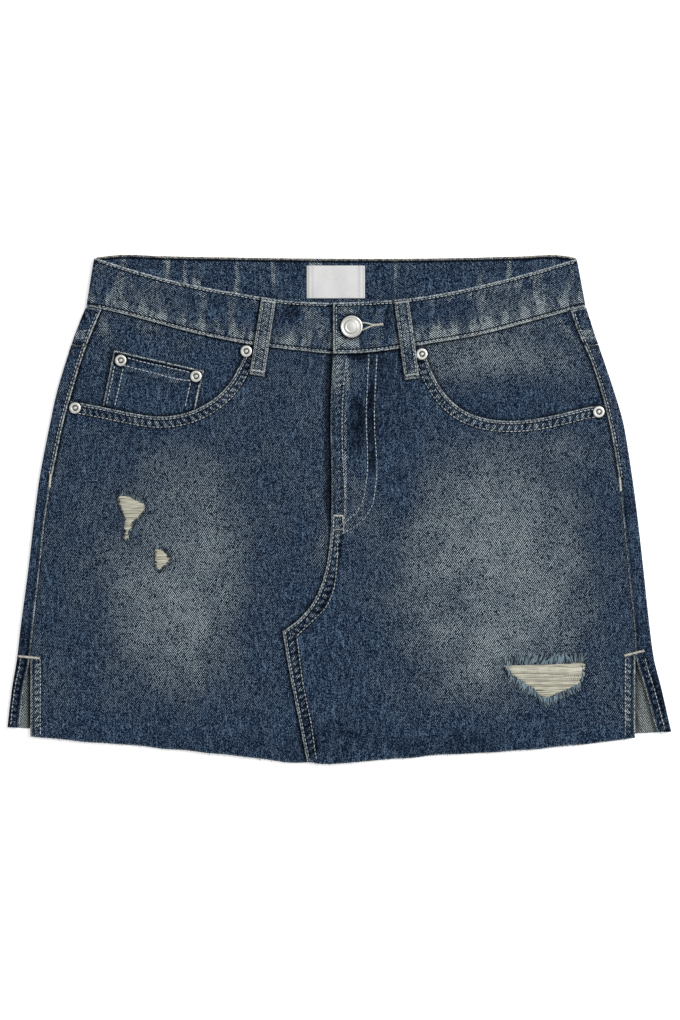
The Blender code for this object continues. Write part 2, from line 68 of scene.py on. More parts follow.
CLOTH, BAND_CLOTH, POCKET_CLOTH, LOOP_CLOTH, LABEL_CLOTH = 1.1, 2.2, 0.9, 1.7, 0.4
GAP = 0.3
HALF_GAP = GAP / 2
FOLD_RADIUS = 2.0
BODY_TOP = 2 * FOLD_RADIUS
BAND_RISE = 0.9
BAND_FOLD_RADIUS = (BODY_TOP + BAND_RISE) / 2
LAP_SHARE = (CLOTH + GAP) / 2
BAND_LAP_RISE = BAND_CLOTH + GAP
FACING_DROP, FACING_RISE_SHARE, FACING_RISE = CLOTH + GAP, 0.6, (6.0, 45.0)
LOOP_ARCH = 0.8
SINK, SINK_FROM, SINK_TO = 0.8, 55.0, -20.0
RIPPLE, RIPPLE_LENGTH, RIPPLE_SHIFT, RIPPLE_FROM, RIPPLE_TO = 1.1, 118.0, 22.0, 10.0, -190.0
SWELL_FADES = (0.72, 0.92)
LAP_WIDTH, LAP_RISE_FADES, UNDERLAP_SINKS = 20.0, (23.0, 48.0), (-14.0, -2.0)
BAND_LAP_FADES, LOOP_LEAVES_BAND = (23.0, 72.0), (-2.5, -11.0)
WAIST_SEAM_BACK, WAIST_SEAM_FOLD = 153.3, 156.5
YOKE_SEAM_CENTRE, YOKE_SEAM_SIDE = 95.0, 127.0
VENT_TOP, BACK_HEM_CENTRE = -113.0, -184.0


class SideRow(NamedTuple):
    """Distance of the side folds and side seams from the middle, at one height."""

    y: float
    fold_left: float
    seam_left: float
    fold_right: float
    seam_right: float


SIDE_ROWS = [
    SideRow(-172.0, 256.0, 244.3, 256.4, 246.8), SideRow(-139.2, 248.7, 235.5, 252.6, 243.2),
    SideRow(-113.0, 242.2, 228.0, 248.3, 238.1), SideRow(-93.0, 239.5, 226.8, 246.0, 236.0),
    SideRow(-46.8, 234.5, 222.1, 239.9, 230.8), SideRow(-0.6, 229.1, 217.5, 234.5, 225.5),
    SideRow(22.5, 226.0, 215.2, 231.4, 221.8), SideRow(45.6, 222.5, 211.6, 227.2, 217.1),
    SideRow(68.7, 218.3, 207.1, 222.5, 212.1), SideRow(91.8, 211.4, 201.0, 217.5, 205.6),
    SideRow(114.9, 203.7, 193.3, 210.6, 198.7), SideRow(138.0, 196.0, 183.1, 202.9, 190.0),
    SideRow(156.5, 189.8, 176.7, 195.2, 182.1),
]


class Side(Enum):
    """The wearer's left and right, with what differs between them."""

    LEFT = ("left", 1, 227.8, -171.5, 177.8, (189.8, 183.0))
    RIGHT = ("right", -1, 238.1, -168.0, 183.0, (195.2, 189.2))

    def __init__(self, label: str, sign: int, vent_edge: float, back_hem: float, waist_corner_x: float,
                 band_folds: Point) -> None:
        """Names the values of a side."""
        self.label, self.sign, self.vent_edge, self.back_hem = label, sign, vent_edge, back_hem
        self.waist_corner_x, self.band_folds = waist_corner_x, band_folds

    def cut_edge(self, y: Array) -> Array:
        """How far from the middle the front's free edge is beside the vent, at each height."""
        hem_x, hem_y = HEM[self.label][-1]
        return np.interp(y, [hem_y, VENT_TOP - 12, VENT_TOP],
                         [abs(hem_x), self.vent_edge, float(side_value("seam", self, VENT_TOP))])


# Lower and upper edge of the waistband's front, and upper edge of its back: (x, y)
WAIST_SEAM = {
    "left": [(-5.0, 119.8), (19.6, 120.5), (45.0, 123.6), (76.6, 128.8), (103.6, 133.4), (147.5, 144.7),
             (186.65, 155.6)],
    "right": [(20.0, 120.5), (-3.5, 119.8), (-30.4, 122.2), (-68.1, 126.9), (-113.6, 136.1),
              (-146.7, 145.0), (-176.7, 152.8), (-192.05, 155.9)],
}
WAIST_TOP = {
    "left": [(-5.0, 158.8), (21.2, 159.7), (42.0, 161.0), (76.6, 165.6), (118.2, 174.6), (147.5, 182.3),
             (179.85, 191.9)],
    "right": [(20.0, 159.7), (-1.2, 158.8), (-22.7, 159.4), (-45.8, 161.0), (-68.1, 164.7),
              (-112.0, 172.4), (-138.2, 178.4), (-162.9, 185.5), (-186.05, 192.8)],
}
WAIST_TOP_BACK = [(-188.0, 194.2), (-169.0, 196.1), (-138.0, 195.2), (-76.6, 194.0), (0.0, 193.2),
                  (92.8, 193.7), (139.0, 194.9), (169.8, 195.8), (181.0, 194.2)]
# Scooped pocket openings and the hidden lower edges of their facings: (x, y)
SCOOP = {
    "left": [(63.8, 126.2), (67.4, 115.2), (74.1, 99.8), (82.8, 86.9), (94.6, 76.8), (110.9, 70.3),
             (127.0, 68.1), (147.5, 69.1), (169.8, 73.3), (190.0, 78.2), (203.8, 80.3)],
    "right": [(-71.5, 126.8), (-73.0, 119.1), (-77.7, 109.0), (-84.6, 97.3), (-94.3, 86.9),
              (-105.2, 79.6), (-119.0, 73.9), (-139.8, 71.4), (-160.2, 74.1), (-180.9, 78.4),
              (-207.7, 83.4)],
}
FACING_FOOT = {
    "left": [(58.0, 96.0), (72.0, 70.0), (96.0, 55.0), (130.0, 49.0), (168.0, 53.0), (208.7, 61.0)],
    "right": [(-62.0, 97.0), (-79.0, 70.0), (-104.0, 56.0), (-140.0, 51.0), (-176.0, 56.0),
              (-213.0, 64.0)],
}
FACING_TOP_START_X = {"left": 50.0, "right": -55.0}
# Free edge of the overlap down the fly and round to its corner, then down to the hem, and the raw hems
LAP_FLY = [(-5.0, 119.5), (-6.2, 99.5), (-7.0, 71.8), (-6.4, 33.3), (-6.4, -5.2), (-7.3, -23.7),
           (-9.3, -39.5), (-13.9, -57.6), (-21.3, -73.0), (-31.4, -84.9), (-43.9, -94.2)]
LAP_LEG = [(-43.9, -94.2), (-37.7, -130.7), (-31.4, -162.3), (-25.0, -194.6)]
HEM = {
    "left": [(-25.0, -194.6), (-14.0, -196.2), (0.4, -195.8), (31.2, -193.1), (62.0, -190.5),
             (123.6, -186.7), (185.2, -181.4), (227.8, -176.0)],
    "right": [(-5.0, -194.2), (-30.4, -195.2), (-61.2, -192.3), (-92.0, -188.6), (-153.6, -182.5),
              (-184.4, -180.0), (-238.1, -175.0)],
}
COIN_TOP = [(-173.6, 122.4), (-104.3, 106.6)]
COIN_FOOT_X = (-182.6, -111.0)
BELT_LOOP_WIDTH = 11.4
BELT_LOOPS = {"left": [(47.4, 161.6), (55.9, 100.2)], "right": [(-54.3, 162.4), (-63.6, 103.0)]}
BUTTON_AT = (9.3, 140.3)
BUTTON_RADIUS, RIVET_RADIUS = 8.5, 4.5
# Distances of the stitch rows from a sewn edge, and the level of the rows on the strips beside the side seams
FRONT_ROWS, BACK_ROWS, BAND_ROWS = (2.1, 8.2), (2.3, 7.6), (2.4, 7.4)
COIN_ROWS, LOOP_ROWS = (1.9, 6.8), (1.9, 4.5)
STRIP_ROWS_LEVEL = BODY_TOP - 0.08
STITCH_PITCH, ROPE_PITCH, PUCKER_PITCH = 3.05, 5.15, 4.5
LABEL_CORNERS = [(-25.3, 162.4), (19.6, 187.7)]
# Shares of a front's upper, fly and outer edges where the scoop, the overlap's leg and the vent start
SCOOP_STARTS, LEG_STARTS, VENT_STARTS = 6 / 22, 16 / 24, 18 / 24


class Seat(NamedTuple):
    """Where a rivet sits and on which cloth."""

    name: str
    x: float
    y: float
    cloth: str


RIVETS = [
    Seat("rivet_pocket_inner_left", 63.4, 119.4, "front_left"),
    Seat("rivet_pocket_outer_left", 199.6, 74.9, "front_left"),
    Seat("rivet_pocket_inner_right", -71.8, 121.6, "front_right"),
    Seat("rivet_pocket_outer_right", -203.6, 77.9, "front_right"),
    Seat("rivet_coin_inner", -110.5, 102.3, "coin"),
    Seat("rivet_coin_outer", -168.4, 114.5, "coin"),
]


# ---- lines and patches in plan

def ease(start: float, end: float, value: Array) -> Array:
    """A smooth rise from 0 at start, which may be the larger, to 1 at end."""
    share = np.clip((value - start) / (end - start), 0, 1)
    return share * share * (3 - 2 * share)


def hump(centre: float, width: float, value: Array) -> Array:
    """A soft bump of height 1 about centre, about width wide on each side."""
    return np.exp(-((value - centre) / width) ** 2)


def wobble(value: Array, seed: float) -> Array:
    """An uneven wave between about -1 and 1, with no step in it."""
    return (np.sin(0.53 * value + seed) + np.sin(0.91 * value + 2.3 * seed + 1.0)
            + np.sin(1.37 * value + 3.1 * seed + 2.0)) / 2.2


def curve_value(knots: Sequence[float], values: Sequence[float], at: Array) -> Array:
    """Smooth interpolation.

    Args:
        knots: Places that rise.
        values: The value at each of them.
        at: Where to take the curve.

    Returns:
        The value of the smooth curve at each place.
    """
    knots, values = np.asarray(knots, float), np.asarray(values, float)
    at = np.clip(at, knots[0], knots[-1])
    slopes = np.gradient(values, knots)
    low = np.clip(np.searchsorted(knots, at, side="right") - 1, 0, len(knots) - 2)
    width = knots[low + 1] - knots[low]
    t = (at - knots[low]) / width
    start = (1 + 2 * t) * (1 - t) ** 2 * values[low] + t * (1 - t) ** 2 * width * slopes[low]
    end = t * t * (3 - 2 * t) * values[low + 1] + t * t * (t - 1) * width * slopes[low + 1]
    return start + end


def travelled(points: Array) -> Array:
    """Length run at each point of a line."""
    return np.concatenate([[0], np.cumsum(np.linalg.norm(np.diff(points, axis=0), axis=1))])


def line_at(points: Line, shares: Array) -> Array:
    """Points of a smooth curve.

    Args:
        points: What the curve passes through.
        shares: Shares of its length, 0 to 1.

    Returns:
        One point for each share.
    """
    points = np.array(points, float)
    chord = travelled(points)
    fine = np.linspace(0, chord[-1], 40 * len(points))
    dense = np.stack([curve_value(chord, points[:, axis], fine) for axis in (0, 1)], axis=1)
    length = travelled(dense)
    return np.stack([np.interp(shares * length[-1], length, dense[:, axis]) for axis in (0, 1)], axis=1)


def even_line(points: Line, spacing: float) -> Array:
    """The smooth curve through the points, as points about spacing apart."""
    cells = max(2, round(travelled(np.array(points, float))[-1] / spacing))
    return line_at(points, np.linspace(0, 1, cells + 1))


def graded(length: float, step: float, corners: Sequence[float] = (), fine: Sequence[Sequence[float]] = (),
           first: float = 0.2, growth: float = 0.13) -> Array:
    """Shares along an edge for a grid that is fine at both its ends.

    Args:
        length: The edge's length.
        step: The largest cell.
        corners: Shares that the grid keeps exactly.
        fine: (from, to, cell) for stretches with smaller cells.
        first: The cell at the ends.
        growth: How fast the cells grow with distance from an end.

    Returns:
        Rising shares from 0 to 1.
    """
    place = np.linspace(0, length, 4000)
    cell = np.minimum(step, first + growth * np.minimum(place, length - place))
    for start, end, small in fine:
        inside = (place > start * length) & (place < end * length)
        cell = np.where(inside, np.minimum(cell, small), cell)
    count = np.concatenate([[0], np.cumsum((1 / cell)[1:] * np.diff(place))])
    shares = np.interp(np.linspace(0, count[-1], round(count[-1]) + 1), count, place) / length
    for corner in corners:
        shares[np.abs(shares - corner).argmin()] = corner
    return shares


def patch(top: Array, bottom: Array, left: Array, right: Array) -> Array:
    """Grid of plan points that fills the four edges of a cut piece.

    Args:
        top: Upper edge, outwards.
        bottom: Lower edge, outwards.
        left: First side, downwards.
        right: Last side, downwards.

    Returns:
        Points as (rows, columns, 2).
    """
    along = [travelled(line) / travelled(line)[-1] for line in (top, bottom, left, right)]
    u = ((along[0] + along[1]) / 2)[None, :, None]
    v = ((along[2] + along[3]) / 2)[:, None, None]
    corners = (1 - v) * ((1 - u) * top[0] + u * top[-1]) + v * ((1 - u) * bottom[0] + u * bottom[-1])
    return (1 - v) * top[None] + v * bottom[None] + (1 - u) * left[:, None] + u * right[:, None] - corners


def joined(shares: Array, corner: float, before: Callable[[Array], Array],
           after: Callable[[Array], Array]) -> Array:
    """Points of an edge made of two parts, each with shares of its own, that meet at the share corner."""
    return np.vstack([before(shares[shares < corner] / corner),
                      after((shares[shares >= corner] - corner) / (1 - corner))])


def side_value(column: str, side: Side, y: Array) -> Array:
    """Distance of a side's "fold" or "seam" from the middle at height y."""
    return curve_value([row.y for row in SIDE_ROWS],
                       [getattr(row, f"{column}_{side.label}") for row in SIDE_ROWS], y)


def lap_edge(y: Array) -> Array:
    """X of the overlap's free edge at height y."""
    line = np.array(LAP_FLY + LAP_LEG[1:])[::-1]
    return np.interp(y, line[:, 1], line[:, 0])


def shifted(points: Line, distance: float) -> list[Point]:
    """The points, moved along X."""
    return [(x + distance, y) for x, y in points]


def edge_y(table: dict, side: Side, x: Array) -> Array:
    """Height at x of one of the waistband's front edges."""
    line = np.array(table[side.label]) * (side.sign, 1)
    return curve_value(line[:, 0], line[:, 1], x * side.sign)


def waist_line(table: dict, side: Side, start_x: float, end_x: float, shares: Array,
               below: float = 0.0) -> Array:
    """Points of a waistband edge between two places, or of the cut edge that lies below it."""
    x = start_x + (end_x - start_x) * shares
    return np.stack([x, edge_y(table, side, x) - below], axis=1)


def scoop_at(side: Side, shares: Array) -> Array:
    """Points of the scooped edge of the front, from just below the waistband to the side seam."""
    start_x = SCOOP[side.label][0][0]
    start = (start_x, float(edge_y(WAIST_SEAM, side, start_x)) - GAP)
    return line_at([start] + SCOOP[side.label][1:], shares)


def nearest(line: Array, x: Array, y: Array) -> tuple[Array, Array]:
    """The nearest place of a line.

    Args:
        line: Points of the line in plan.
        x: X of the points to measure from.
        y: Y of those points.

    Returns:
        Their distance to the line, and how far along it the nearest place is.
    """
    start, step = line[:-1], np.diff(line, axis=0)
    length = np.maximum(np.linalg.norm(step, axis=1), 1e-9)
    from_x, from_y = x.reshape(-1, 1) - start[:, 0], y.reshape(-1, 1) - start[:, 1]
    share = np.clip((from_x * step[:, 0] + from_y * step[:, 1]) / length ** 2, 0, 1)
    gap = np.hypot(from_x - share * step[:, 0], from_y - share * step[:, 1])
    best, every = gap.argmin(axis=1), np.arange(len(gap))
    place = travelled(line)[:-1][best] + share[every, best] * length[best]
    return gap[every, best].reshape(x.shape), place.reshape(x.shape)


# ---- heights of the laid cloth

def body_height(x: Array, y: Array) -> Array:
    """Top of the front cloth where nothing laps."""
    fold = np.where(x > 0, side_value("fold", Side.LEFT, y), side_value("fold", Side.RIGHT, y))
    inward = 1 - ease(*SWELL_FADES, np.abs(x) / fold)
    wave = 0.5 + 0.5 * np.cos(2 * math.pi * (x - RIPPLE_SHIFT) / RIPPLE_LENGTH)
    swell = RIPPLE * wave * ease(RIPPLE_FROM, RIPPLE_TO, y) - SINK * ease(SINK_FROM, SINK_TO, y)
    return BODY_TOP + inward * swell


def flat_at(level: float) -> Surface:
    """A surface that is level all over."""
    return lambda x, y: np.full(np.shape(x), level)


def front_left_height(x: Array, y: Array) -> Array:
    """The overlapping front rises over the other one beside the fly."""
    return body_height(x, y) + LAP_SHARE * (1 - ease(*LAP_RISE_FADES, x - lap_edge(y)))


def front_right_height(x: Array, y: Array) -> Array:
    """The front below sinks where the other one covers it."""
    return body_height(x, y) - LAP_SHARE * ease(*UNDERLAP_SINKS, x - lap_edge(y))


def band_height(side: Side, x: Array, y: Array) -> Array:
    """Top of the front waistband, whose left end lies over its right end."""
    lap = BAND_LAP_RISE * (1 - ease(*BAND_LAP_FADES, x)) if side is Side.LEFT else 0.0
    return body_height(x, y) + BAND_RISE + lap


def facing_height(side: Side, x: Array, y: Array) -> Array:
    """The pocket facing lies under the scoop's edge and rises to the seams around it."""
    scoop = scoop_at(side, np.linspace(0, 1, 161))
    depth = np.interp(np.abs(x), np.abs(scoop[:, 0]), scoop[:, 1])
    above = np.where(y > depth, nearest(scoop, x, y)[0], 0)
    return body_height(x, y) - FACING_DROP * (1 - FACING_RISE_SHARE * ease(*FACING_RISE, above))


def coin_height(x: Array, y: Array) -> Array:
    """The coin pocket lies on the facing."""
    return facing_height(Side.RIGHT, x, y) + GAP + POCKET_CLOTH


HEIGHTS: dict[str, Surface] = {"front_left": front_left_height, "front_right": front_right_height,
                               "coin": coin_height}


# ---- sewn edges, washes and creases

@dataclass(frozen=True)
class SewnEdge:
    """An edge of a cut piece, with how strongly its rim is worn and its second row is roped."""

    line: Array
    rim: float
    sewn: float
    allowance: float = 11.5


@dataclass(frozen=True)
class Wash:
    """A soft round place where the cloth is paler, or darker where amount is below zero."""

    x: float
    y: float
    wide: float
    high: float
    amount: float
    lean: float = 0.0
    firm: float = 1.0

    def at(self, x: Array, y: Array) -> Array:
        """How much it adds to the wash at each point."""
        across, up = x - self.x + self.lean * (y - self.y), y - self.y
        return self.amount * np.exp(-((across / self.wide) ** 2 + (up / self.high) ** 2) ** self.firm)


@dataclass(frozen=True)
class Crease:
    """A soft ridge, or a trough where height is below zero, between two places."""

    start: Point
    end: Point
    width: float
    height: float

    def at(self, x: Array, y: Array) -> Array:
        """How far it lifts the cloth at each point."""
        run = math.dist(self.start, self.end)
        gap, along = nearest(np.array([self.start, self.end], float), x, y)
        fade = np.sin(math.pi * np.clip(along / run, 0.04, 0.96)) ** 0.7
        return self.height * fade * np.exp(-(gap / self.width) ** 2)


class Shade(NamedTuple):
    """A margin beside a line, painted darker: painted shadow of the raised edge beside it, partly unfaded
    indigo; its points, how wide it is and how dark.
    """

    line: Array
    width: float
    amount: float


def shaded(shades: Sequence[Shade], x: Array, y: Array) -> Array:
    """How dark the margins' painted shade makes each point, 0 to 0.9."""
    found = np.zeros(np.shape(x))
    for line, width, amount in shades:
        found = np.maximum(found, amount * (1 - ease(0.2 * width, width, nearest(line, x, y)[0])))
    return np.minimum(found, 0.9)


def ring(x: float, y: float, radius: float) -> Array:
    """The outline of a round fitting in plan."""
    turn = np.linspace(0, 2 * math.pi, 17)
    return np.stack([x + radius * np.cos(turn), y + radius * np.sin(turn)], axis=1)


def loop_outline(side: Side) -> Array:
    """The outline of a belt loop in plan."""
    upper, lower = (np.array(point, float) for point in BELT_LOOPS[side.label])
    along = (lower - upper) / np.linalg.norm(lower - upper)
    half = BELT_LOOP_WIDTH / 2 * np.array([-along[1], along[0]])
    return np.array([upper - half, upper + half, lower + half, lower - half, upper - half])


def fitting_shades(side: Side) -> list[Shade]:
    """The painted shadow along the side seam and round the loop and the rivets of one side."""
    y = np.linspace(152, VENT_TOP, 60)
    seam = np.stack([side.sign * side_value("seam", side, y), y], axis=1)
    return [Shade(loop_outline(side), 2.2, 0.8), Shade(seam[y > 22], 3.0, 0.85), Shade(seam, 2.0, 0.4)] + [
        Shade(ring(seat.x, seat.y, RIVET_RADIUS + 0.1), 1.9, 0.8)
        for seat in RIVETS if seat.x * side.sign > 0]


@dataclass(frozen=True)
class EdgeField:
    """What the sewn edges of a piece say at each of its points."""

    edge: Array
    along: Array
    rim: Array
    sewn: Array
    allowance: Array

    @staticmethod
    def of(edges: Sequence[SewnEdge], x: Array, y: Array) -> "EdgeField":
        """Measures the points from the nearest of the edges.

        Args:
            edges: The edges of the piece.
            x: X of its points.
            y: Y of its points.

        Returns:
            The field at these points.
        """
        found = EdgeField(np.full(x.shape, 99.0), *(np.zeros(x.shape) for _ in range(4)))
        for number, sewn_edge in enumerate(edges):
            gap, along = nearest(sewn_edge.line, x, y)
            closer = gap < found.edge
            for name, value in (("edge", gap), ("along", along + 500 * number), ("rim", sewn_edge.rim),
                                ("sewn", sewn_edge.sewn), ("allowance", sewn_edge.allowance)):
                getattr(found, name)[closer] = value[closer] if isinstance(value, np.ndarray) else value
        return found

    def values(self, wash: Array, shade: Array) -> dict[str, Array]:
        """What the denim finish reads at each point."""
        return {"edge": self.edge, "along": self.along, "rim": self.rim, "sewn": self.sewn, "wash": wash,
                "shade": shade}

    def relief(self, rows: Sequence[float], roundness: float = 0.9) -> Array:
        """How far the right side sinks for its rounded rim, its seam allowance, its rows and its puckers.

        Args:
            rows: Distance of the stitch rows from the edge.
            roundness: Radius of the turned edge.

        Returns:
            Lift at each point, never above zero.
        """
        rounded = -0.42 * (1 - np.clip(self.edge / roundness, 0, 1)) ** 2
        single = -0.28 * ease(0, 1.6, self.edge - self.allowance) * np.minimum(1, self.rim + self.sewn)
        grooves = -0.2 * self.rim * hump(rows[0], 0.5, self.edge)
        if len(rows) > 1:
            grooves = grooves - 0.2 * self.sewn * hump(rows[1], 0.55, self.edge)
        turn = 2 * math.pi * (self.along / PUCKER_PITCH + self.edge / 11)
        turn = turn + 1.6 * wobble(self.along / 3.1, 1.7)
        near, far = rows[0], rows[-1]
        window = ease(near * 0.6, near + 1, self.edge) * (1 - ease(far + 0.5, far + 5, self.edge))
        uneven = 0.75 + 0.35 * wobble(self.along / 7, 0.4)
        puckers = -0.13 * self.sewn * window * (1 + np.sin(turn)) * uneven
        return rounded + single + grooves + puckers


def washed(washes: Sequence[Wash], base: float, x: Array, y: Array) -> Array:
    """The wash of a piece: its base with all its soft places added."""
    return base + sum((wash.at(x, y) for wash in washes), np.zeros(np.shape(x)))


# ---- making meshes

def add_mesh(name: str, points: Array, faces: Array | list, materials: Sequence[Material],
             indices: Array | None = None, values: dict[str, Array] | None = None,
             smooth: bool = True) -> Thing:
    """Makes an object of points in millimetres.

    Args:
        name: The piece's name.
        points: (count, 3), in mm.
        faces: Point numbers of each face.
        materials: Its finishes.
        indices: Which of them each face has.
        values: Named values at each point, which the finishes read.
        smooth: Whether it is shaded smooth.

    Returns:
        The object, at the origin.
    """
    mesh = bpy.data.meshes.new(name)
    faces = faces.tolist() if isinstance(faces, np.ndarray) else faces
    mesh.from_pydata((np.asarray(points) * MM).tolist(), [], faces)
    for material in materials:
        mesh.materials.append(material)
    if indices is not None:
        mesh.polygons.foreach_set("material_index", np.asarray(indices, np.int32))
    for key, value in (values or {}).items():
        attribute = mesh.attributes.new(key, "FLOAT", "POINT")
        attribute.data.foreach_set("value", np.asarray(value, np.float32).ravel())
    if smooth:
        mesh.shade_smooth()
    mesh.update()
    obj = bpy.data.objects.new(name, mesh)
    bpy.context.scene.collection.objects.link(obj)
    return obj


def place(obj: Thing, slot: str, *nodes: str) -> Thing:
    """Rides a piece on the skirt and hides the solids that it stands for."""
    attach(obj, "root")
    if nodes:
        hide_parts(*nodes)
    LOG.info("%s: %d faces", obj.name, len(obj.data.polygons))
    return obj


def shell(name: str, right: Array, wrong: Array, materials: Sequence[Material],
          values: dict[str, Array]) -> Thing:
    """A thin closed shell of cloth.

    Args:
        name: The piece's name.
        right: Its right side, as (rows, columns, 3).
        wrong: Its wrong side, point for point behind the right one.
        materials: The finish of the right side and that of the wrong side.
        values: Named values at each point of the grid.

    Returns:
        The object, with its faces pointing out.
    """
    rows, columns = right.shape[:2]
    number = np.arange(rows * columns).reshape(rows, columns)
    quads = np.stack([number[:-1, :-1], number[1:, :-1], number[1:, 1:], number[:-1, 1:]], axis=-1)
    quads = quads.reshape(-1, 4)
    rim = np.concatenate([number[0, :-1], number[:-1, -1], number[-1, :0:-1], number[:0:-1, 0]])
    after, count = np.roll(rim, -1), rows * columns
    walls = np.stack([rim, after, after + count, rim + count], axis=1)
    points = np.vstack([right.reshape(-1, 3), wrong.reshape(-1, 3)])
    faces = np.vstack([quads, quads[:, ::-1] + count, walls])
    a, b, c, d = (points[faces[:, k]] for k in range(4))
    if (np.einsum("ij,ij->i", a, np.cross(b, c)) + np.einsum("ij,ij->i", a, np.cross(c, d))).sum() < 0:
        faces = faces[:, ::-1]
    indices = np.repeat([0, 1, 0], [len(quads), len(quads), len(walls)])
    doubled = {key: np.concatenate([value.ravel(), value.ravel()]) for key, value in values.items()}
    return add_mesh(name, points, faces, materials, indices, doubled)


def laid_sheet(node: str, slot: str, faces: tuple[Array, Array], materials: Sequence[Material],
               values: dict[str, Array]) -> Thing:
    """A piece of laid cloth that stands for its solid.

    Args:
        node: The solid's node. The piece is named after it.
        slot: Not used.
        faces: Its right side and its wrong side, as (rows, columns, 3) each.
        materials: Their finishes.
        values: Named values at each point of the grid.

    Returns:
        The object.
    """
    obj = place(shell(f"{node}_cloth", *faces, materials, values), slot, node)
    return obj


def tubes(paths: Array, radii: Array, sides: int, flat: float) -> tuple[Array, list]:
    """Many thin tubes of equal length in points.

    Args:
        paths: (count, points, 3).
        radii: (count, points).
        sides: Sides of each tube.
        flat: Height of a tube as a share of its width.

    Returns:
        The points and the faces of all of them.
    """
    count, steps = paths.shape[:2]
    along = np.gradient(paths, axis=1)
    along /= np.maximum(np.linalg.norm(along, axis=2, keepdims=True), 1e-9)
    across = np.cross(along, (0, 0, 1.0))
    across /= np.maximum(np.linalg.norm(across, axis=2, keepdims=True), 1e-9)
    up = np.cross(across, along)
    angle = np.arange(sides) * 2 * math.pi / sides
    round_path = np.cos(angle)[:, None] * across[:, :, None] + flat * np.sin(angle)[:, None] * up[:, :, None]
    points = (paths[:, :, None] + radii[:, :, None, None] * round_path).reshape(-1, 3)
    at = np.arange(count * steps * sides).reshape(count, steps, sides)
    turned = np.roll(at, -1, axis=2)
    walls = np.stack([at[:, :-1], at[:, 1:], turned[:, 1:], turned[:, :-1]], axis=-1).reshape(-1, 4)
    ends = (at[:, 0], at[:, -1, ::-1])
    caps = [np.stack([end[:, 0], end[:, k], end[:, k + 1]], axis=1)
            for end in ends for k in range(1, sides - 1)]
    return points, walls.tolist() + np.concatenate(caps).tolist()


def yarns(name: str, slot: str, material: Material, paths: Sequence[Array], radii: Array, shades: Array,
          sides: int = 4, flat: float = 1.0) -> Thing:
    """Yarns or threads along many paths.

    Args:
        name: The piece's name.
        slot: Not used.
        material: Their finish.
        paths: Their middle lines, all of the same count of points.
        radii: Their radius at each point.
        shades: How dark each of them is.
        sides: Sides of each tube.
        flat: Height of a yarn as a share of its width.

    Returns:
        The object.
    """
    points, faces = tubes(np.array(paths), np.broadcast_to(radii, (len(paths), len(paths[0]))), sides, flat)
    shade = np.repeat(shades, len(points) // len(paths))
    return place(add_mesh(name, points, faces, [material], values={"shade": shade}), slot)


# ---- finishes

def linear(red: float, green: float, blue: float) -> tuple[float, float, float, float]:
    """A colour given as on a screen, 0 to 255, as the renderer takes it."""
    values = [channel / 255 for channel in (red, green, blue)]
    return (*(v / 12.92 if v <= 0.04045 else ((v + 0.055) / 1.055) ** 2.4 for v in values), 1.0)


class Value:
    """A node's result, with arithmetic that adds the nodes for it."""

    def __init__(self, nodes: "Nodes", socket: bpy.types.NodeSocket) -> None:
        """Keeps the socket and the material that it is in."""
        self.nodes, self.socket = nodes, socket

    def __add__(self, other: object) -> "Value":
        """The sum."""
        return self.nodes.math("ADD", self, other)

    def __sub__(self, other: object) -> "Value":
        """The difference."""
        return self.nodes.math("SUBTRACT", self, other)

    def __mul__(self, other: object) -> "Value":
        """The product."""
        return self.nodes.math("MULTIPLY", self, other)

    def __pow__(self, power: object) -> "Value":
        """The power."""
        return self.nodes.math("POWER", self, power)

    def __abs__(self) -> "Value":
        """The size without its sign."""
        return self.nodes.math("ABSOLUTE", self)


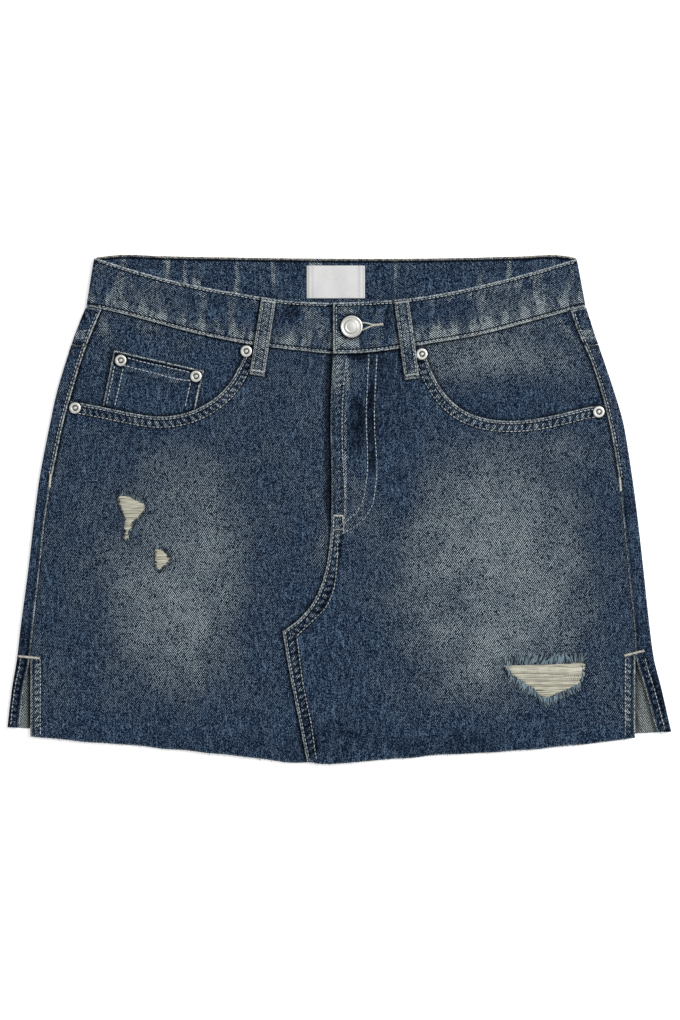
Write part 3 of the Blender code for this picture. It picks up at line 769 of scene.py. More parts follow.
class Nodes:
    """Adds nodes to one material and links them as it goes."""

    def __init__(self, name: str) -> None:
        """Starts a material with a Principled shader.

        Args:
            name: The material's name.
        """
        self.material = bpy.data.materials.new(name)
        self.material.use_nodes = True
        self.tree = self.material.node_tree
        self.shader = self.tree.nodes["Principled BSDF"]
        self.place = self.result("ShaderNodeTexCoord", {}, "Object")

    def result(self, kind: str, inputs: dict, output: int | str = 0, **settings: object) -> Value:
        """Adds a node.

        Args:
            kind: Its type.
            inputs: Socket to value, which may be another node's result.
            output: Which of its outputs is wanted.
            **settings: Its properties.

        Returns:
            That output.
        """
        node = self.tree.nodes.new(kind)
        for key, value in settings.items():
            setattr(node, key, value)
        self.feed(node, inputs)
        return Value(self, node.outputs[output])

    def feed(self, node: bpy.types.Node, inputs: dict) -> None:
        """Sets the inputs of a node, or links them to the results that they take."""
        for key, value in inputs.items():
            if isinstance(value, Value):
                self.tree.links.new(value.socket, node.inputs[key])
            else:
                node.inputs[key].default_value = value

    def math(self, operation: str, *values: object, clamp: bool = False) -> Value:
        """A Math node's result."""
        return self.result("ShaderNodeMath", dict(enumerate(values)), operation=operation, use_clamp=clamp)

    def noise(self, scale: Sequence[float], detail: float = 1.0, turn: float = 0.0,
              spread: float = 1.0) -> Value:
        """Uneven values about zero over the piece.

        Args:
            scale: Features a metre along X, Y and Z.
            detail: How many finer layers are added.
            turn: Turn about Z, in degrees.
            spread: Multiplies the values.

        Returns:
            The values.
        """
        at = self.result("ShaderNodeMapping", {"Vector": self.place, "Rotation": (0, 0, math.radians(turn)),
                                               "Scale": tuple(scale)})
        raw = self.result("ShaderNodeTexNoise", {"Vector": at, "Scale": 1.0, "Detail": detail})
        return (raw - 0.5) * spread

    def rise(self, value: object, low: float, high: float, start: float = 0.0, end: float = 1.0) -> Value:
        """A smooth rise from start to end as the value goes from low to high."""
        return self.result("ShaderNodeMapRange", {"Value": value, "From Min": low, "From Max": high,
                                                  "To Min": start, "To Max": end},
                           interpolation_type="SMOOTHSTEP")

    def wander(self, scale: float, reach: float) -> None:
        """Bends the place that the later nodes read, by up to about reach mm."""
        inputs = {"Vector": self.place, "Scale": scale, "Detail": 1.0}
        drift = self.result("ShaderNodeTexNoise", inputs, "Color")
        self.place = self.result("ShaderNodeVectorMath", {0: drift, 1: (reach * MM,) * 3, 2: self.place},
                                 operation="MULTIPLY_ADD")

    def cells(self, across: float, down: float) -> Value:
        """A value from -0.5 to 0.5 for each crossing of two yarns, with their spacing in mm."""
        at = self.result("ShaderNodeVectorMath", {0: self.place, 1: (1 / across / MM, 1 / down / MM, 0)},
                         operation="MULTIPLY")
        cell = self.result("ShaderNodeVectorMath", {0: at}, operation="FLOOR")
        return self.result("ShaderNodeTexWhiteNoise", {"Vector": cell}, noise_dimensions="2D") - 0.5

    def wave(self, across: float, down: float, shift: object) -> Value:
        """A diagonal wave, -1 to 1, with its length across and down in mm."""
        rate = (2 * math.pi / across / MM, 2 * math.pi / down / MM, 0)
        phase = self.result("ShaderNodeVectorMath", {0: self.place, 1: rate}, "Value",
                            operation="DOT_PRODUCT")
        return self.math("SINE", phase + shift)

    def mix(self, share: object, first: object, second: object) -> Value:
        """A colour between two."""
        return self.result("ShaderNodeMix", {0: share, 6: first, 7: second}, 2, data_type="RGBA")

    def value(self, name: str) -> Value:
        """A named value that the piece carries at its points."""
        return self.result("ShaderNodeAttribute", {}, "Fac", attribute_name=name)

    def finish(self, colour: Value, height: Value, depth: float, **sockets: object) -> Material:
        """Feeds the shader.

        Args:
            colour: Its colour.
            height: The relief of its surface.
            depth: How deep that is, in mm.
            **sockets: Its other values, by name with _ for a space.

        Returns:
            The finished material.
        """
        bump = self.result("ShaderNodeBump", {"Height": height, "Strength": 1.0, "Distance": depth * MM})
        self.feed(self.shader, {"Base Color": colour, "Normal": bump})
        self.feed(self.shader, {key.replace("_", " "): value for key, value in sockets.items()})
        return self.material


class Twill(Enum):
    """Which way the twill's lines run, as their lengths across and down in mm."""

    BODY = (1.54, -2.2)
    BODY_WRONG_SIDE = (1.54, 2.2)
    CROSSWISE = (2.2, 1.54)


@dataclass(frozen=True)
class Denim:
    """Indigo twill, washed out by the amount that the cloth carries at each point and darkened by the painted
    shade that it carries there.
    """

    name: str
    twill: Twill = Twill.BODY
    lift: float = 0.0
    rows: tuple[float, float] = (2.7, 8.4)
    rim: float = 1.15
    patches: float = 0.0
    whiskers: float = 0.0
    dark_low: Colour = (8, 21, 41)
    dark_high: Colour = (87, 108, 130)
    pale_low: Colour = (4, 16, 25)
    pale_high: Colour = (213, 228, 235)
    worn: Colour = (194, 202, 200)
    # the darkest colour, for painted shade and for the darker unwashed indigo where the wash is below zero
    painted_shade: Colour = (4, 8, 15)

    def make(self) -> Material:
        """Builds the material.

        Returns:
            The finished material.
        """
        n = Nodes(self.name)
        edge, along, rim, sewn, shade = (n.value(key) for key in ("edge", "along", "rim", "sewn", "shade"))
        n.wander(85, 1.1)
        grain = n.noise((1150, 850, 900), spread=2.35)
        yarns = n.cells(0.385, 0.55)
        streak = n.rise(n.noise((460, 130, 300), turn=38), 0.0, 0.28, -0.1, 0.3)
        slub = n.rise(n.noise((950, 95, 300)), 0.0, 0.28, -0.13, 0.36)
        bright = ((yarns + 0.5) ** 2.4 - 0.3) * 1.15
        cloud = n.noise((48, 38, 40), detail=2, spread=0.7)
        blot = n.noise((210, 130, 150), detail=2, spread=0.2)
        rough = n.noise((300, 300, 300), detail=2)
        twill = n.wave(*self.twill.value, n.noise((160, 110, 120), spread=3.8))
        # worn rim, painted shade in the stitch rows' grooves, and the roping between them
        near, far = self.rows
        broken = n.rise(rough + yarns * 0.6, -0.2, 0.25, 0.1, 1)
        rim_share = n.rise(edge, 0.55 * self.rim, 1.15 * self.rim, 1, 0) * (rim * broken)
        first, second = (n.rise(abs(edge - row), 0.5, wide, 1, 0) for row, wide in ((near, 1.15), (far, 1.7)))
        turn = along * (2 * math.pi / ROPE_PITCH) + edge * 0.5 + rough * 6.0
        between = n.rise(edge, near + 0.5, near + 1.4) * n.rise(edge, far - 1.4, far + 3, 1, 0)
        rope = n.math("SINE", turn) * between * sewn
        beyond = n.rise(edge, far, far + 1.5) * n.rise(edge, far + 2, far + 8, 1, 0) * sewn
        # how far the indigo is washed out
        wash = n.value("wash") + cloud + self.lift + rope * 0.75 + beyond * -0.16
        if self.patches:
            wash = wash + n.rise(n.noise((95, 42, 60), detail=2, turn=-12), 0.0, 0.13, -0.15, self.patches)
        if self.whiskers:
            fading = n.rise(n.noise((60, 30, 40)), -0.2, 0.06, 0.25, self.whiskers)
            wash = wash + n.rise(n.noise((135, 9, 40), turn=4), 0.03, 0.17) * fading
        capped = n.math("MAXIMUM", n.math("MINIMUM", wash, 1.15), 0.0)
        faded = capped ** 1.5
        # the twill, whose dots grow clearer as the cloth fades, and the share of pale yarn at each point
        dots = n.rise(twill, -0.4, 0.95) - 0.4
        fine = grain * (capped * -0.67 + 1.0) + bright + dots * (capped * 3.0 + 0.34)
        body = (fine * (capped * 0.55 + 1.0) + (streak + slub + blot) * (capped * -0.85 + 1.0) + faded * -1.82
                + capped * -0.4 + n.math("MINIMUM", wash + 0.12, 0.0) * 0.42)
        body = n.rise(body, -0.47, 0.58) ** (faded * 3.2 + 2.05)
        low = n.mix(faded, linear(*self.dark_low), linear(*self.pale_low))
        high = n.mix(faded, linear(*self.dark_high), linear(*self.pale_high))
        cloth = n.mix(body, low, high)
        worn = n.mix(n.math("MULTIPLY", rim_share, body * 0.8 + 0.5, clamp=True), cloth, linear(*self.worn))
        # painted shade: dark lines in the stitch rows' grooves and the piece's painted shade, with the darker
        # unwashed indigo where the wash is below zero
        lines = first * rim * 0.75 + second * sewn * 0.75 + shade + n.rise(wash, -0.7, 0.0, 0.75, 0)
        colour = n.mix(n.math("MINIMUM", lines, 0.93), worn, linear(*self.painted_shade))
        relief = dots * 0.6 + grain + yarns * 0.4 + rope * 0.8
        return n.finish(colour, relief, 0.16, Roughness=n.rise(grain, -0.5, 0.5, 0.8, 0.95),
                        Specular_IOR_Level=0.03, Sheen_Weight=0.04, Sheen_Roughness=0.5,
                        Sheen_Tint=(0.12, 0.2, 0.32, 1.0))


@dataclass(frozen=True)
class Cotton:
    """Twisted cotton thread or loose yarn, between a pale and a dark shade that its points choose."""

    name: str
    pale: Colour
    dark: Colour

    def make(self) -> Material:
        """Builds the material.

        Returns:
            The finished material.
        """
        n = Nodes(self.name)
        fibre = n.noise((2600, 2600, 2600), spread=0.8)
        soil = n.noise((120, 120, 120), detail=2, spread=0.7)
        share = n.math("SUBTRACT", 1.0, n.value("shade") + fibre + soil, clamp=True)
        colour = n.mix(share, linear(*self.dark), linear(*self.pale))
        return n.finish(colour, fibre, 0.12, Roughness=n.rise(fibre, -0.4, 0.4, 0.7, 0.92),
                        Specular_IOR_Level=0.25, Sheen_Weight=0.15)


@dataclass(frozen=True)
class Satin:
    """White satin weave: fine ribs with a soft gloss."""

    name: str
    colour: Colour = (213, 213, 212)
    # the darker colour, for the weave, the label's darker fold lines and its painted shadow
    shade: Colour = (170, 171, 172)

    def make(self) -> Material:
        """Builds the material.

        Returns:
            The finished material.
        """
        n = Nodes(self.name)
        ribs = n.wave(0.45, 9000.0, 0.0)
        picks = n.wave(9000.0, 0.35, n.noise((300, 300, 300), spread=2.0))
        weave = (ribs + picks) * 0.5
        soft = n.noise((90, 60, 60), detail=2, spread=0.8)
        # the label's darker fold lines and painted shadow, then the weave and a soft unevenness
        share = n.value("shade") + 0.2 + weave * 0.25 + soft
        colour = n.mix(n.math("ADD", share, 0.0, clamp=True), linear(*self.colour), linear(*self.shade))
        return n.finish(colour, weave, 0.05, Roughness=n.rise(weave, -1, 1, 0.38, 0.55),
                        Specular_IOR_Level=0.45, Sheen_Weight=0.2)


@dataclass(frozen=True)
class Metal:
    """Nickel-plated brass, brushed by wear, with painted shade in its grooves and a painted shadow round its
    rim.
    """

    name: str
    colour: Colour = (240, 240, 235)
    worn: Colour = (176, 176, 170)
    painted_shade: Colour = (52, 54, 54)

    def make(self) -> Material:
        """Builds the material.

        Returns:
            The finished material.
        """
        n = Nodes(self.name)
        scratches = n.noise((4200, 500, 1500), detail=2, turn=30)
        tarnish = n.noise((650, 650, 650), detail=3, spread=1.4)
        share = tarnish + 0.25 + scratches * 0.3
        colour = n.mix(n.math("ADD", share, 0.0, clamp=True), linear(*self.colour), linear(*self.worn))
        # painted shade in the grooves and a painted shadow round the rim, from the fitting's shade rings
        colour = n.mix(n.math("MULTIPLY", n.value("shade"), 0.95, clamp=True), colour, linear(*self.painted_shade))
        return n.finish(colour, scratches, 0.02, Roughness=n.rise(tarnish, -0.6, 0.6, 0.34, 0.55),
                        Metallic=1.0)


@dataclass(frozen=True)
class Paper:
    """The pale floor."""

    name: str

    def make(self) -> Material:
        """Builds the material.

        Returns:
            The finished material.
        """
        n = Nodes(self.name)
        tooth = n.noise((900, 900, 900), detail=2, spread=0.5)
        colour = n.mix(n.math("ADD", tooth, 0.5, clamp=True), linear(249, 249, 250), linear(252, 252, 252))
        return n.finish(colour, tooth, 0.02, Roughness=0.9, Specular_IOR_Level=0.1,
                        Emission_Color=(1.0, 1.0, 1.0, 1.0), Emission_Strength=0.4)


class Finishes:
    """Every finish of the skirt, made once."""

    def __init__(self) -> None:
        """Makes the materials."""
        self.panel = Denim("denim_panel").make()
        self.wrong_side = Denim("denim_wrong_side", twill=Twill.BODY_WRONG_SIDE, lift=0.9,
                                pale_low=(58, 66, 68), pale_high=(184, 190, 186)).make()
        self.facing = Denim("denim_facing", rows=(2.5, 7.3)).make()
        self.band = Denim("denim_band", twill=Twill.CROSSWISE, rows=(2.6, 9.5), rim=1.3, patches=0.38,
                          worn=(196, 206, 208)).make()
        self.band_inside = Denim("denim_band_inside", twill=Twill.CROSSWISE, rows=(2.6, 9.5), rim=1.5,
                                 whiskers=0.9, worn=(176, 168, 148)).make()
        self.loop = Denim("denim_loop", twill=Twill.CROSSWISE, rows=(2.5, 20.0), patches=0.3).make()
        self.stitch = Cotton("stitch_thread", (186, 194, 196), (88, 98, 108)).make()
        self.tack = Cotton("tack_thread", (216, 214, 202), (132, 130, 120)).make()
        self.weft = Cotton("weft_yarn", (200, 198, 181), (132, 129, 112)).make()
        self.warp = Cotton("warp_yarn", (124, 146, 157), (8, 22, 38)).make()
        self.satin = Satin("label_satin").make()
        self.metal = Metal("nickel").make()
        self.floor = Paper("floor_paper").make()


# ---- cut pieces of cloth

@dataclass
class LaidPiece:
    """A cut piece that lies flat in the stack: its outline, edges, wash, painted shade and creases."""

    node: str
    cloth: float
    flat: Point
    area: float
    rests_on: tuple[str, ...]
    height: Surface
    plan: Array
    edges: list[SewnEdge]
    rows: tuple[float, ...]
    washes: list[Wash] = field(default_factory=list)
    creases: list[Crease] = field(default_factory=list)
    shades: list[Shade] = field(default_factory=list)
    base: float = 0.0
    drift: float = 0.0

    def lift(self, x: Array, y: Array) -> Array:
        """How far creases and the cloth's own unevenness move the whole thickness."""
        moved = sum((crease.at(x, y) for crease in self.creases), np.zeros(np.shape(x)))
        if self.drift:
            uneven = 0.5 * wobble(x / 14 + y / 31, 0.7) + 0.5 * wobble(y / 17 - x / 40, 2.1)
            moved = moved + self.drift * uneven
        return moved

    def level(self, at: EdgeField, x: Array, y: Array) -> Array:
        """Height of the cloth at each point, with its creases, which fade towards the sewn edges."""
        return self.height(x, y) + self.lift(x, y) * ease(0, 16, at.edge)

    def top(self, x: Array, y: Array) -> Array:
        """Height of the right side at each point, with its relief."""
        at = EdgeField.of(self.edges, x, y)
        return self.level(at, x, y) + at.relief(self.rows)

    def build(self, materials: Sequence[Material]) -> Thing:
        """Makes the piece.

        Args:
            materials: The finish of its right side and of its wrong side.

        Returns:
            The object.
        """
        x, y = self.plan[..., 0], self.plan[..., 1]
        at = EdgeField.of(self.edges, x, y)
        level = self.level(at, x, y)
        faces = (np.dstack([self.plan, level + at.relief(self.rows)]),
                 np.dstack([self.plan, level - self.cloth]))
        values = at.values(washed(self.washes, self.base, x, y), shaded(self.shades, x, y))
        return laid_sheet(self.node, "denim", faces, materials, values)


@dataclass(frozen=True)
class FrontCut:
    """The cut of a front panel and what lies along its edges."""

    side: Side
    cell: float = 2.3
    fine_rows: tuple[tuple[float, float, float], ...] = ()
    fine_columns: tuple[tuple[float, float, float], ...] = ()
    tack_y: float = 22.0

    def lines(self, across: Array, down: Array) -> tuple[Array, Array, Array, Array]:
        """The four edges of the cut.

        Args:
            across: Shares along the top and the hem.
            down: Shares down the fly and the side.

        Returns:
            Top, hem, fly side and outer side.
        """
        side, shift = self.side, 0.0 if self.side is Side.LEFT else LAP_WIDTH
        fly_points, leg_points = shifted(LAP_FLY, shift), shifted(LAP_LEG, shift)
        start_x, scoop_x = fly_points[0][0], float(scoop_at(side, np.array([0.0]))[0, 0])
        top = joined(across, SCOOP_STARTS,
                     lambda s: waist_line(WAIST_SEAM, side, start_x, scoop_x, s, below=GAP),
                     lambda s: scoop_at(side, s))
        top[0] = fly_points[0]
        fly = joined(down, LEG_STARTS, lambda s: line_at(fly_points, s), lambda s: line_at(leg_points, s))
        scoop_end = top[-1]
        seam_y = lambda s: scoop_end[1] + (VENT_TOP - scoop_end[1]) * s
        seam_x = lambda y: side.sign * (side_value("seam", side, y) - HALF_GAP)
        corner = (float(seam_x(np.array([VENT_TOP]))[0]), VENT_TOP)
        vent = [corner, (side.sign * side.vent_edge, VENT_TOP - 12), HEM[side.label][-1]]
        outer = joined(down, VENT_STARTS, lambda s: np.stack([seam_x(seam_y(s)), seam_y(s)], axis=1),
                       lambda s: line_at(vent, s))
        hem = line_at(HEM[side.label], across)
        hem[:, 1] += 0.5 * np.sin(math.pi * across) ** 0.4 * wobble(hem[:, 0] / 7, 1.3)
        hem[0], hem[-1], top[-1] = fly[-1], outer[-1], outer[0]
        return top, hem, fly, outer

    def plan(self) -> Array:
        """The grid of the cut's points in plan."""
        across = graded(250, self.cell, corners=(SCOOP_STARTS,), fine=self.fine_columns)
        down = graded(300, self.cell, corners=(LEG_STARTS, VENT_STARTS), fine=self.fine_rows)
        return patch(*self.lines(across, down))

    def edges(self) -> list[SewnEdge]:
        """The sewn edges, from the scoop round to the waist seam."""
        top, hem, fly, outer = self.lines(np.linspace(0, 1, 221), np.linspace(0, 1, 241))
        scoop, waist = top[60:], top[:61]
        seam, vent = outer[:181], outer[180:]
        upper, lower = seam[seam[:, 1] > self.tack_y], seam[seam[:, 1] < self.tack_y + 2]
        left = self.side is Side.LEFT
        straight, curve = fly[fly[:, 1] > -18], fly[fly[:, 1] < -15]
        return [SewnEdge(scoop, 1.0, 1.0), SewnEdge(straight, 0.3, 0.55, 10.5),
                SewnEdge(curve, 1.0 if left else 0.1, 1.0 if left else 0.0),
                SewnEdge(upper, 0.0, 0.15), SewnEdge(lower, 0.1, 0.1), SewnEdge(vent, 0.9, 0.8, 9.0),
                SewnEdge(waist, 0.0, 0.25), SewnEdge(hem, 0.15, 0.0)]


class Fronts:
    """Both front panels, with the washes and creases that each one shows."""

    LEFT_WASHES = [
        Wash(118, -50, 72, 100, 0.7, firm=2.0), Wash(92, -66, 28, 28, -0.1), Wash(168, -138, 40, 24, -0.1),
        Wash(104, -126, 20, 15, 0.14), Wash(14, 0, 14, 14, 0.2), Wash(170, 52, 34, 20, 0.2),
        Wash(157, -130, 26, 9, 1.2, firm=4.0), Wash(60, -180, 200, 22, -0.4), Wash(36, 90, 22, 62, -0.42),
        Wash(48, 6, 12, 13, -0.2), Wash(102, -70, 22, 18, -0.12), Wash(-4, -122, 26, 50, -0.32),
        Wash(20, 72, 14, 40, -0.18), Wash(28, 98, 9, 50, -0.15), Wash(200, -150, 20, 22, 0.2),
        Wash(222, -150, 5, 34, 0.5), Wash(-0.8, 104, 5.4, 16, 0.62, firm=6.0),
        Wash(17, 102, 11, 11.5, 0.32, firm=5.0), Wash(6.2, 102, 1.2, 18, 0.9, firm=3.0),
        Wash(4.6, 40, 1.2, 50, 0.8, firm=3.0), Wash(12.6, 62, 7.4, 25, -0.36, firm=5.0),
        Wash(24.5, 56, 3.4, 56, -0.36, firm=4.0), Wash(14.0, 118, 7.2, 3.5, -0.6, firm=4.0),
        Wash(-3.5, 22, 3.4, 18, 0.2), Wash(-1, -15, 3.6, 6, 0.35), Wash(14, 12, 8, 12, 0.2),
        Wash(24.5, 74, 2.4, 3, 0.3), Wash(24.5, 47, 2.4, 3.5, 0.3), Wash(24.5, 22, 2.6, 5, 0.35),
        Wash(34, 70, 1.2, 26, 0.2), Wash(48, -160, 0.8, 9, 0.35, 0.7), Wash(78, 22, 0.8, 8, 0.3, -0.6),
        Wash(196, -60, 0.9, 9, 0.25, 0.9),
    ]
    RIGHT_WASHES = [
        Wash(-126, -52, 56, 96, 0.6, firm=2.0), Wash(-128, -80, 26, 40, 0.1), Wash(-100, 30, 22, 16, 0.14),
        Wash(-11, -24, 8, 26, 0.28), Wash(-17, -38, 9, 11, 0.2), Wash(-18, -102, 9, 26, -0.25),
        Wash(-62, 126, 26, 14, -0.15), Wash(-160.5, 1, 4.5, 7, 0.8, firm=3.0),
        Wash(-137, -39, 4, 6, 0.8, firm=3.0), Wash(-200, 80, 22, 12, -0.1), Wash(-146, -14, 28, 30, -0.2),
        Wash(-158, 40, 22, 18, -0.1), Wash(-236, -152, 7, 32, 0.75), Wash(-90, -180, 200, 22, -0.38),
        Wash(-26, -104, 18, 54, -0.26), Wash(-60, -86, 13, 32, -0.15), Wash(-57, -169, 0.8, 10, 0.4, 0.73),
        Wash(-84, -147, 0.8, 5, 0.3, 0.8), Wash(-98, 14, 0.8, 7, 0.3, -0.7),
        Wash(-72, 40, 0.9, 9, 0.25, 0.5),
    ]
    LEFT_CREASES = [
        Crease((20, -120), (48, -188), 9, 0.5), Crease((95, -150), (110, -184), 8, 0.35),
        Crease((60, 20), (120, -4), 7, 0.22), Crease((55, 4), (125, -30), 8, 0.2),
        Crease((150, -60), (206, -40), 9, 0.25), Crease((40, 95), (64, 50), 6, 0.3),
        Crease((160, -150), (176, -178), 7, 0.3),
    ]
    RIGHT_CREASES = [
        Crease((-62, -158), (-44, -190), 5, 0.55), Crease((-130, 25), (-190, 12), 6, 0.25),
        Crease((-120, 8), (-196, -14), 8, 0.22), Crease((-60, 84), (-46, 30), 6, 0.3),
        Crease((-130, -140), (-120, -180), 9, 0.35), Crease((-200, -90), (-150, -110), 9, 0.25),
        Crease((-96, -152), (-84, -184), 7, 0.3),
    ]

    def __init__(self) -> None:
        """Cuts both panels."""
        spec = {
            Side.LEFT: (FrontCut(Side.LEFT, fine_rows=((0.69, 0.83, 1.2),),
                                 fine_columns=((0.0, 0.15, 0.9), (0.56, 0.86, 1.3)),
                                 tack_y=19.0), front_left_height, self.LEFT_WASHES, self.LEFT_CREASES,
                        (0.29, 0.32), 0.0668),
            Side.RIGHT: (FrontCut(Side.RIGHT, fine_rows=((0.24, 0.5, 1.4),), fine_columns=((0.5, 0.76, 1.4),),
                                  tack_y=22.0), front_right_height, self.RIGHT_WASHES, self.RIGHT_CREASES,
                         (0.28, 0.32), 0.0648),
        }
        # each panel carries a painted shadow below the waistband and beside its fittings
        self.pieces = {
            side: LaidPiece(f"front_{side.label}", CLOTH, flat, area,
                            ("back_left_cloth", "back_right_cloth"), height, cut.plan(), cut.edges(),
                            FRONT_ROWS, washes, creases,
                            [Shade(even_line(WAIST_SEAM[side.label], 3), 2.6, 0.8)] + fitting_shades(side),
                            base=0.18, drift=0.16)
            for side, (cut, height, washes, creases, flat, area) in spec.items()
        }
        # painted shadow of the overlapping front's edge on the front below it
        self.pieces[Side.RIGHT].shades += [
            Shade(even_line(LAP_FLY[:5], 3), 7.0, 1.0), Shade(even_line(LAP_FLY[4:], 3), 3.2, 0.9),
            Shade(even_line(LAP_LEG, 3), 3.6, 0.75)]
        # painted shade among the broken warp ends round each rip, partly the dark unfaded ends themselves
        for rip in Wear.RIPS:
            margin = Shade(rip.margin(), 2.4 + 0.3 * rip.tuft, 0.5 + 0.02 * rip.tuft)
            self.pieces[rip.side].shades.append(margin)

    def build(self, finishes: Finishes) -> None:
        """Makes both panels."""
        for piece in self.pieces.values():
            piece.build([finishes.panel, finishes.wrong_side])


class Pockets:
    """The facings in the scoops and the coin pocket on the wearer's right."""

    FACING_WASHES = {
        Side.LEFT: [
            Wash(105, 118, 46, 22, 0.66), Wash(165, 118, 40, 16, 0.3), Wash(140, 76, 70, 9, -0.3),
            Wash(174, 139, 4, 13, 0.6, 0.8), Wash(150, 141, 14, 8, 0.3), Wash(188, 128, 6, 16, -0.3, 0.8),
        ],
        Side.RIGHT: [
            Wash(-185, 120, 26, 16, 0.12), Wash(-150, 140, 14, 6, 0.4, 0.2), Wash(-155, 102, 40, 20, -0.22),
            Wash(-84, 112, 14, 18, -0.2), Wash(-181, 141, 4, 12, 0.55), Wash(-168, 139, 5, 9, -0.35, 1.2),
            Wash(-117, 127, 9, 5, 0.35), Wash(-96, 88, 30, 22, -0.2),
        ],
    }
    COIN_WASHES = [
        Wash(-159, 107.0, 9, 1.5, 0.5, firm=2.0), Wash(-144, 103.2, 9, 1.5, 0.5, firm=2.0),
        Wash(-128, 98.8, 9, 1.5, 0.6, firm=2.0), Wash(-129, 105, 8, 3, 0.4), Wash(-142, 92, 20, 9, 0.04),
    ]

    def __init__(self) -> None:
        """Cuts the facings and the coin pocket."""
        self.facings = {side: self.facing(side) for side in Side}
        self.coin = self.coin_pocket()

    def facing(self, side: Side) -> LaidPiece:
        """Cuts a facing, darker beside the scoop: partly unfaded there, partly painted shade under the
        scoop's edge.

        Args:
            side: Which side it is on.

        Returns:
            The cut piece.
        """
        foot = FACING_FOOT[side.label]
        across, down = graded(150, 2.0, first=0.8), graded(90, 2.0, first=0.8)
        waist = waist_line(WAIST_SEAM, side, FACING_TOP_START_X[side.label], side.sign * side.waist_corner_x,
                           across, below=GAP)
        seam_y = waist[-1][1] + (foot[-1][1] - waist[-1][1]) * down
        seam = np.stack([side.sign * (side_value("seam", side, seam_y) - HALF_GAP), seam_y], axis=1)
        waist[-1] = seam[0]
        bottom = line_at(foot, across)
        bottom[-1] = seam[-1]
        plan = patch(waist, bottom, line_at([tuple(waist[0]), foot[0]], down), seam)
        edges = [SewnEdge(seam, 0.0, 0.15), SewnEdge(waist, 0.0, 0.2)]
        # painted shade under the scoop's edge and the waist seam, and painted shadow beside the coin pocket's
        # top and sides
        shades = [Shade(scoop_at(side, np.linspace(0, 1, 61)), 3.4, 0.75),
                  Shade(even_line(WAIST_SEAM[side.label], 3), 2.4, 0.75)]
        if side is Side.RIGHT:
            shades.append(Shade(np.array(COIN_TOP, float), 1.6, 0.6))
            shades += [Shade(np.array([top, (foot_x, 74.0)]), width, amount)
                       for top, foot_x, width, amount in zip(COIN_TOP, COIN_FOOT_X, (4.4, 2.4), (0.8, 0.6))]
        return LaidPiece(f"pocket_facing_{side.label}", CLOTH, (0.16, 0.105), 0.0114,
                         (f"back_{side.label}_cloth",), lambda x, y: facing_height(side, x, y), plan, edges,
                         BACK_ROWS, self.FACING_WASHES[side], shades=shades + fitting_shades(side),
                         base=0.12, drift=0.1)

    def coin_pocket(self) -> LaidPiece:
        """Cuts the coin pocket, whose foot is hidden by the scoop's edge."""
        across, down = graded(72, 1.3, first=0.25), graded(40, 1.3, first=0.25)
        scoop = scoop_at(Side.RIGHT, np.linspace(0, 1, 161))[::-1]
        foot_x = COIN_FOOT_X[0] + (COIN_FOOT_X[1] - COIN_FOOT_X[0]) * across
        foot = np.stack([foot_x, np.interp(foot_x, scoop[:, 0], scoop[:, 1]) + 2 * GAP], axis=1)
        top = line_at(COIN_TOP, across)
        sides = [line_at([COIN_TOP[0], tuple(foot[0])], down), line_at([COIN_TOP[1], tuple(foot[-1])], down)]
        edges = [SewnEdge(top, 1.2, 0.2, 15.0), *(SewnEdge(line, 0.8, 0.3, 9.0) for line in sides)]
        # painted shade under the scoop's edge, and painted shadow below the hem's rim and below the hem
        # fold's inner edge
        shades = [Shade(scoop_at(Side.RIGHT, np.linspace(0, 1, 61)), 3.0, 0.7),
                  Shade(np.array(COIN_TOP, float) - (0, 3.0), 1.1, 0.85),
                  Shade(np.array([(-174, 107), (-106, 92)], float), 1.2, 0.5)]
        return LaidPiece("coin_pocket", POCKET_CLOTH, (0.075, 0.045), 0.0029, ("pocket_facing_right_cloth",),
                         coin_height, patch(top, foot, *sides), edges, COIN_ROWS, self.COIN_WASHES,
                         shades=shades + fitting_shades(Side.RIGHT), drift=0.08)

    def build(self, finishes: Finishes) -> None:
        """Makes the facings and the coin pocket."""
        for piece in self.facings.values():
            piece.build([finishes.facing, finishes.wrong_side])
        self.coin.build([finishes.facing, finishes.wrong_side])


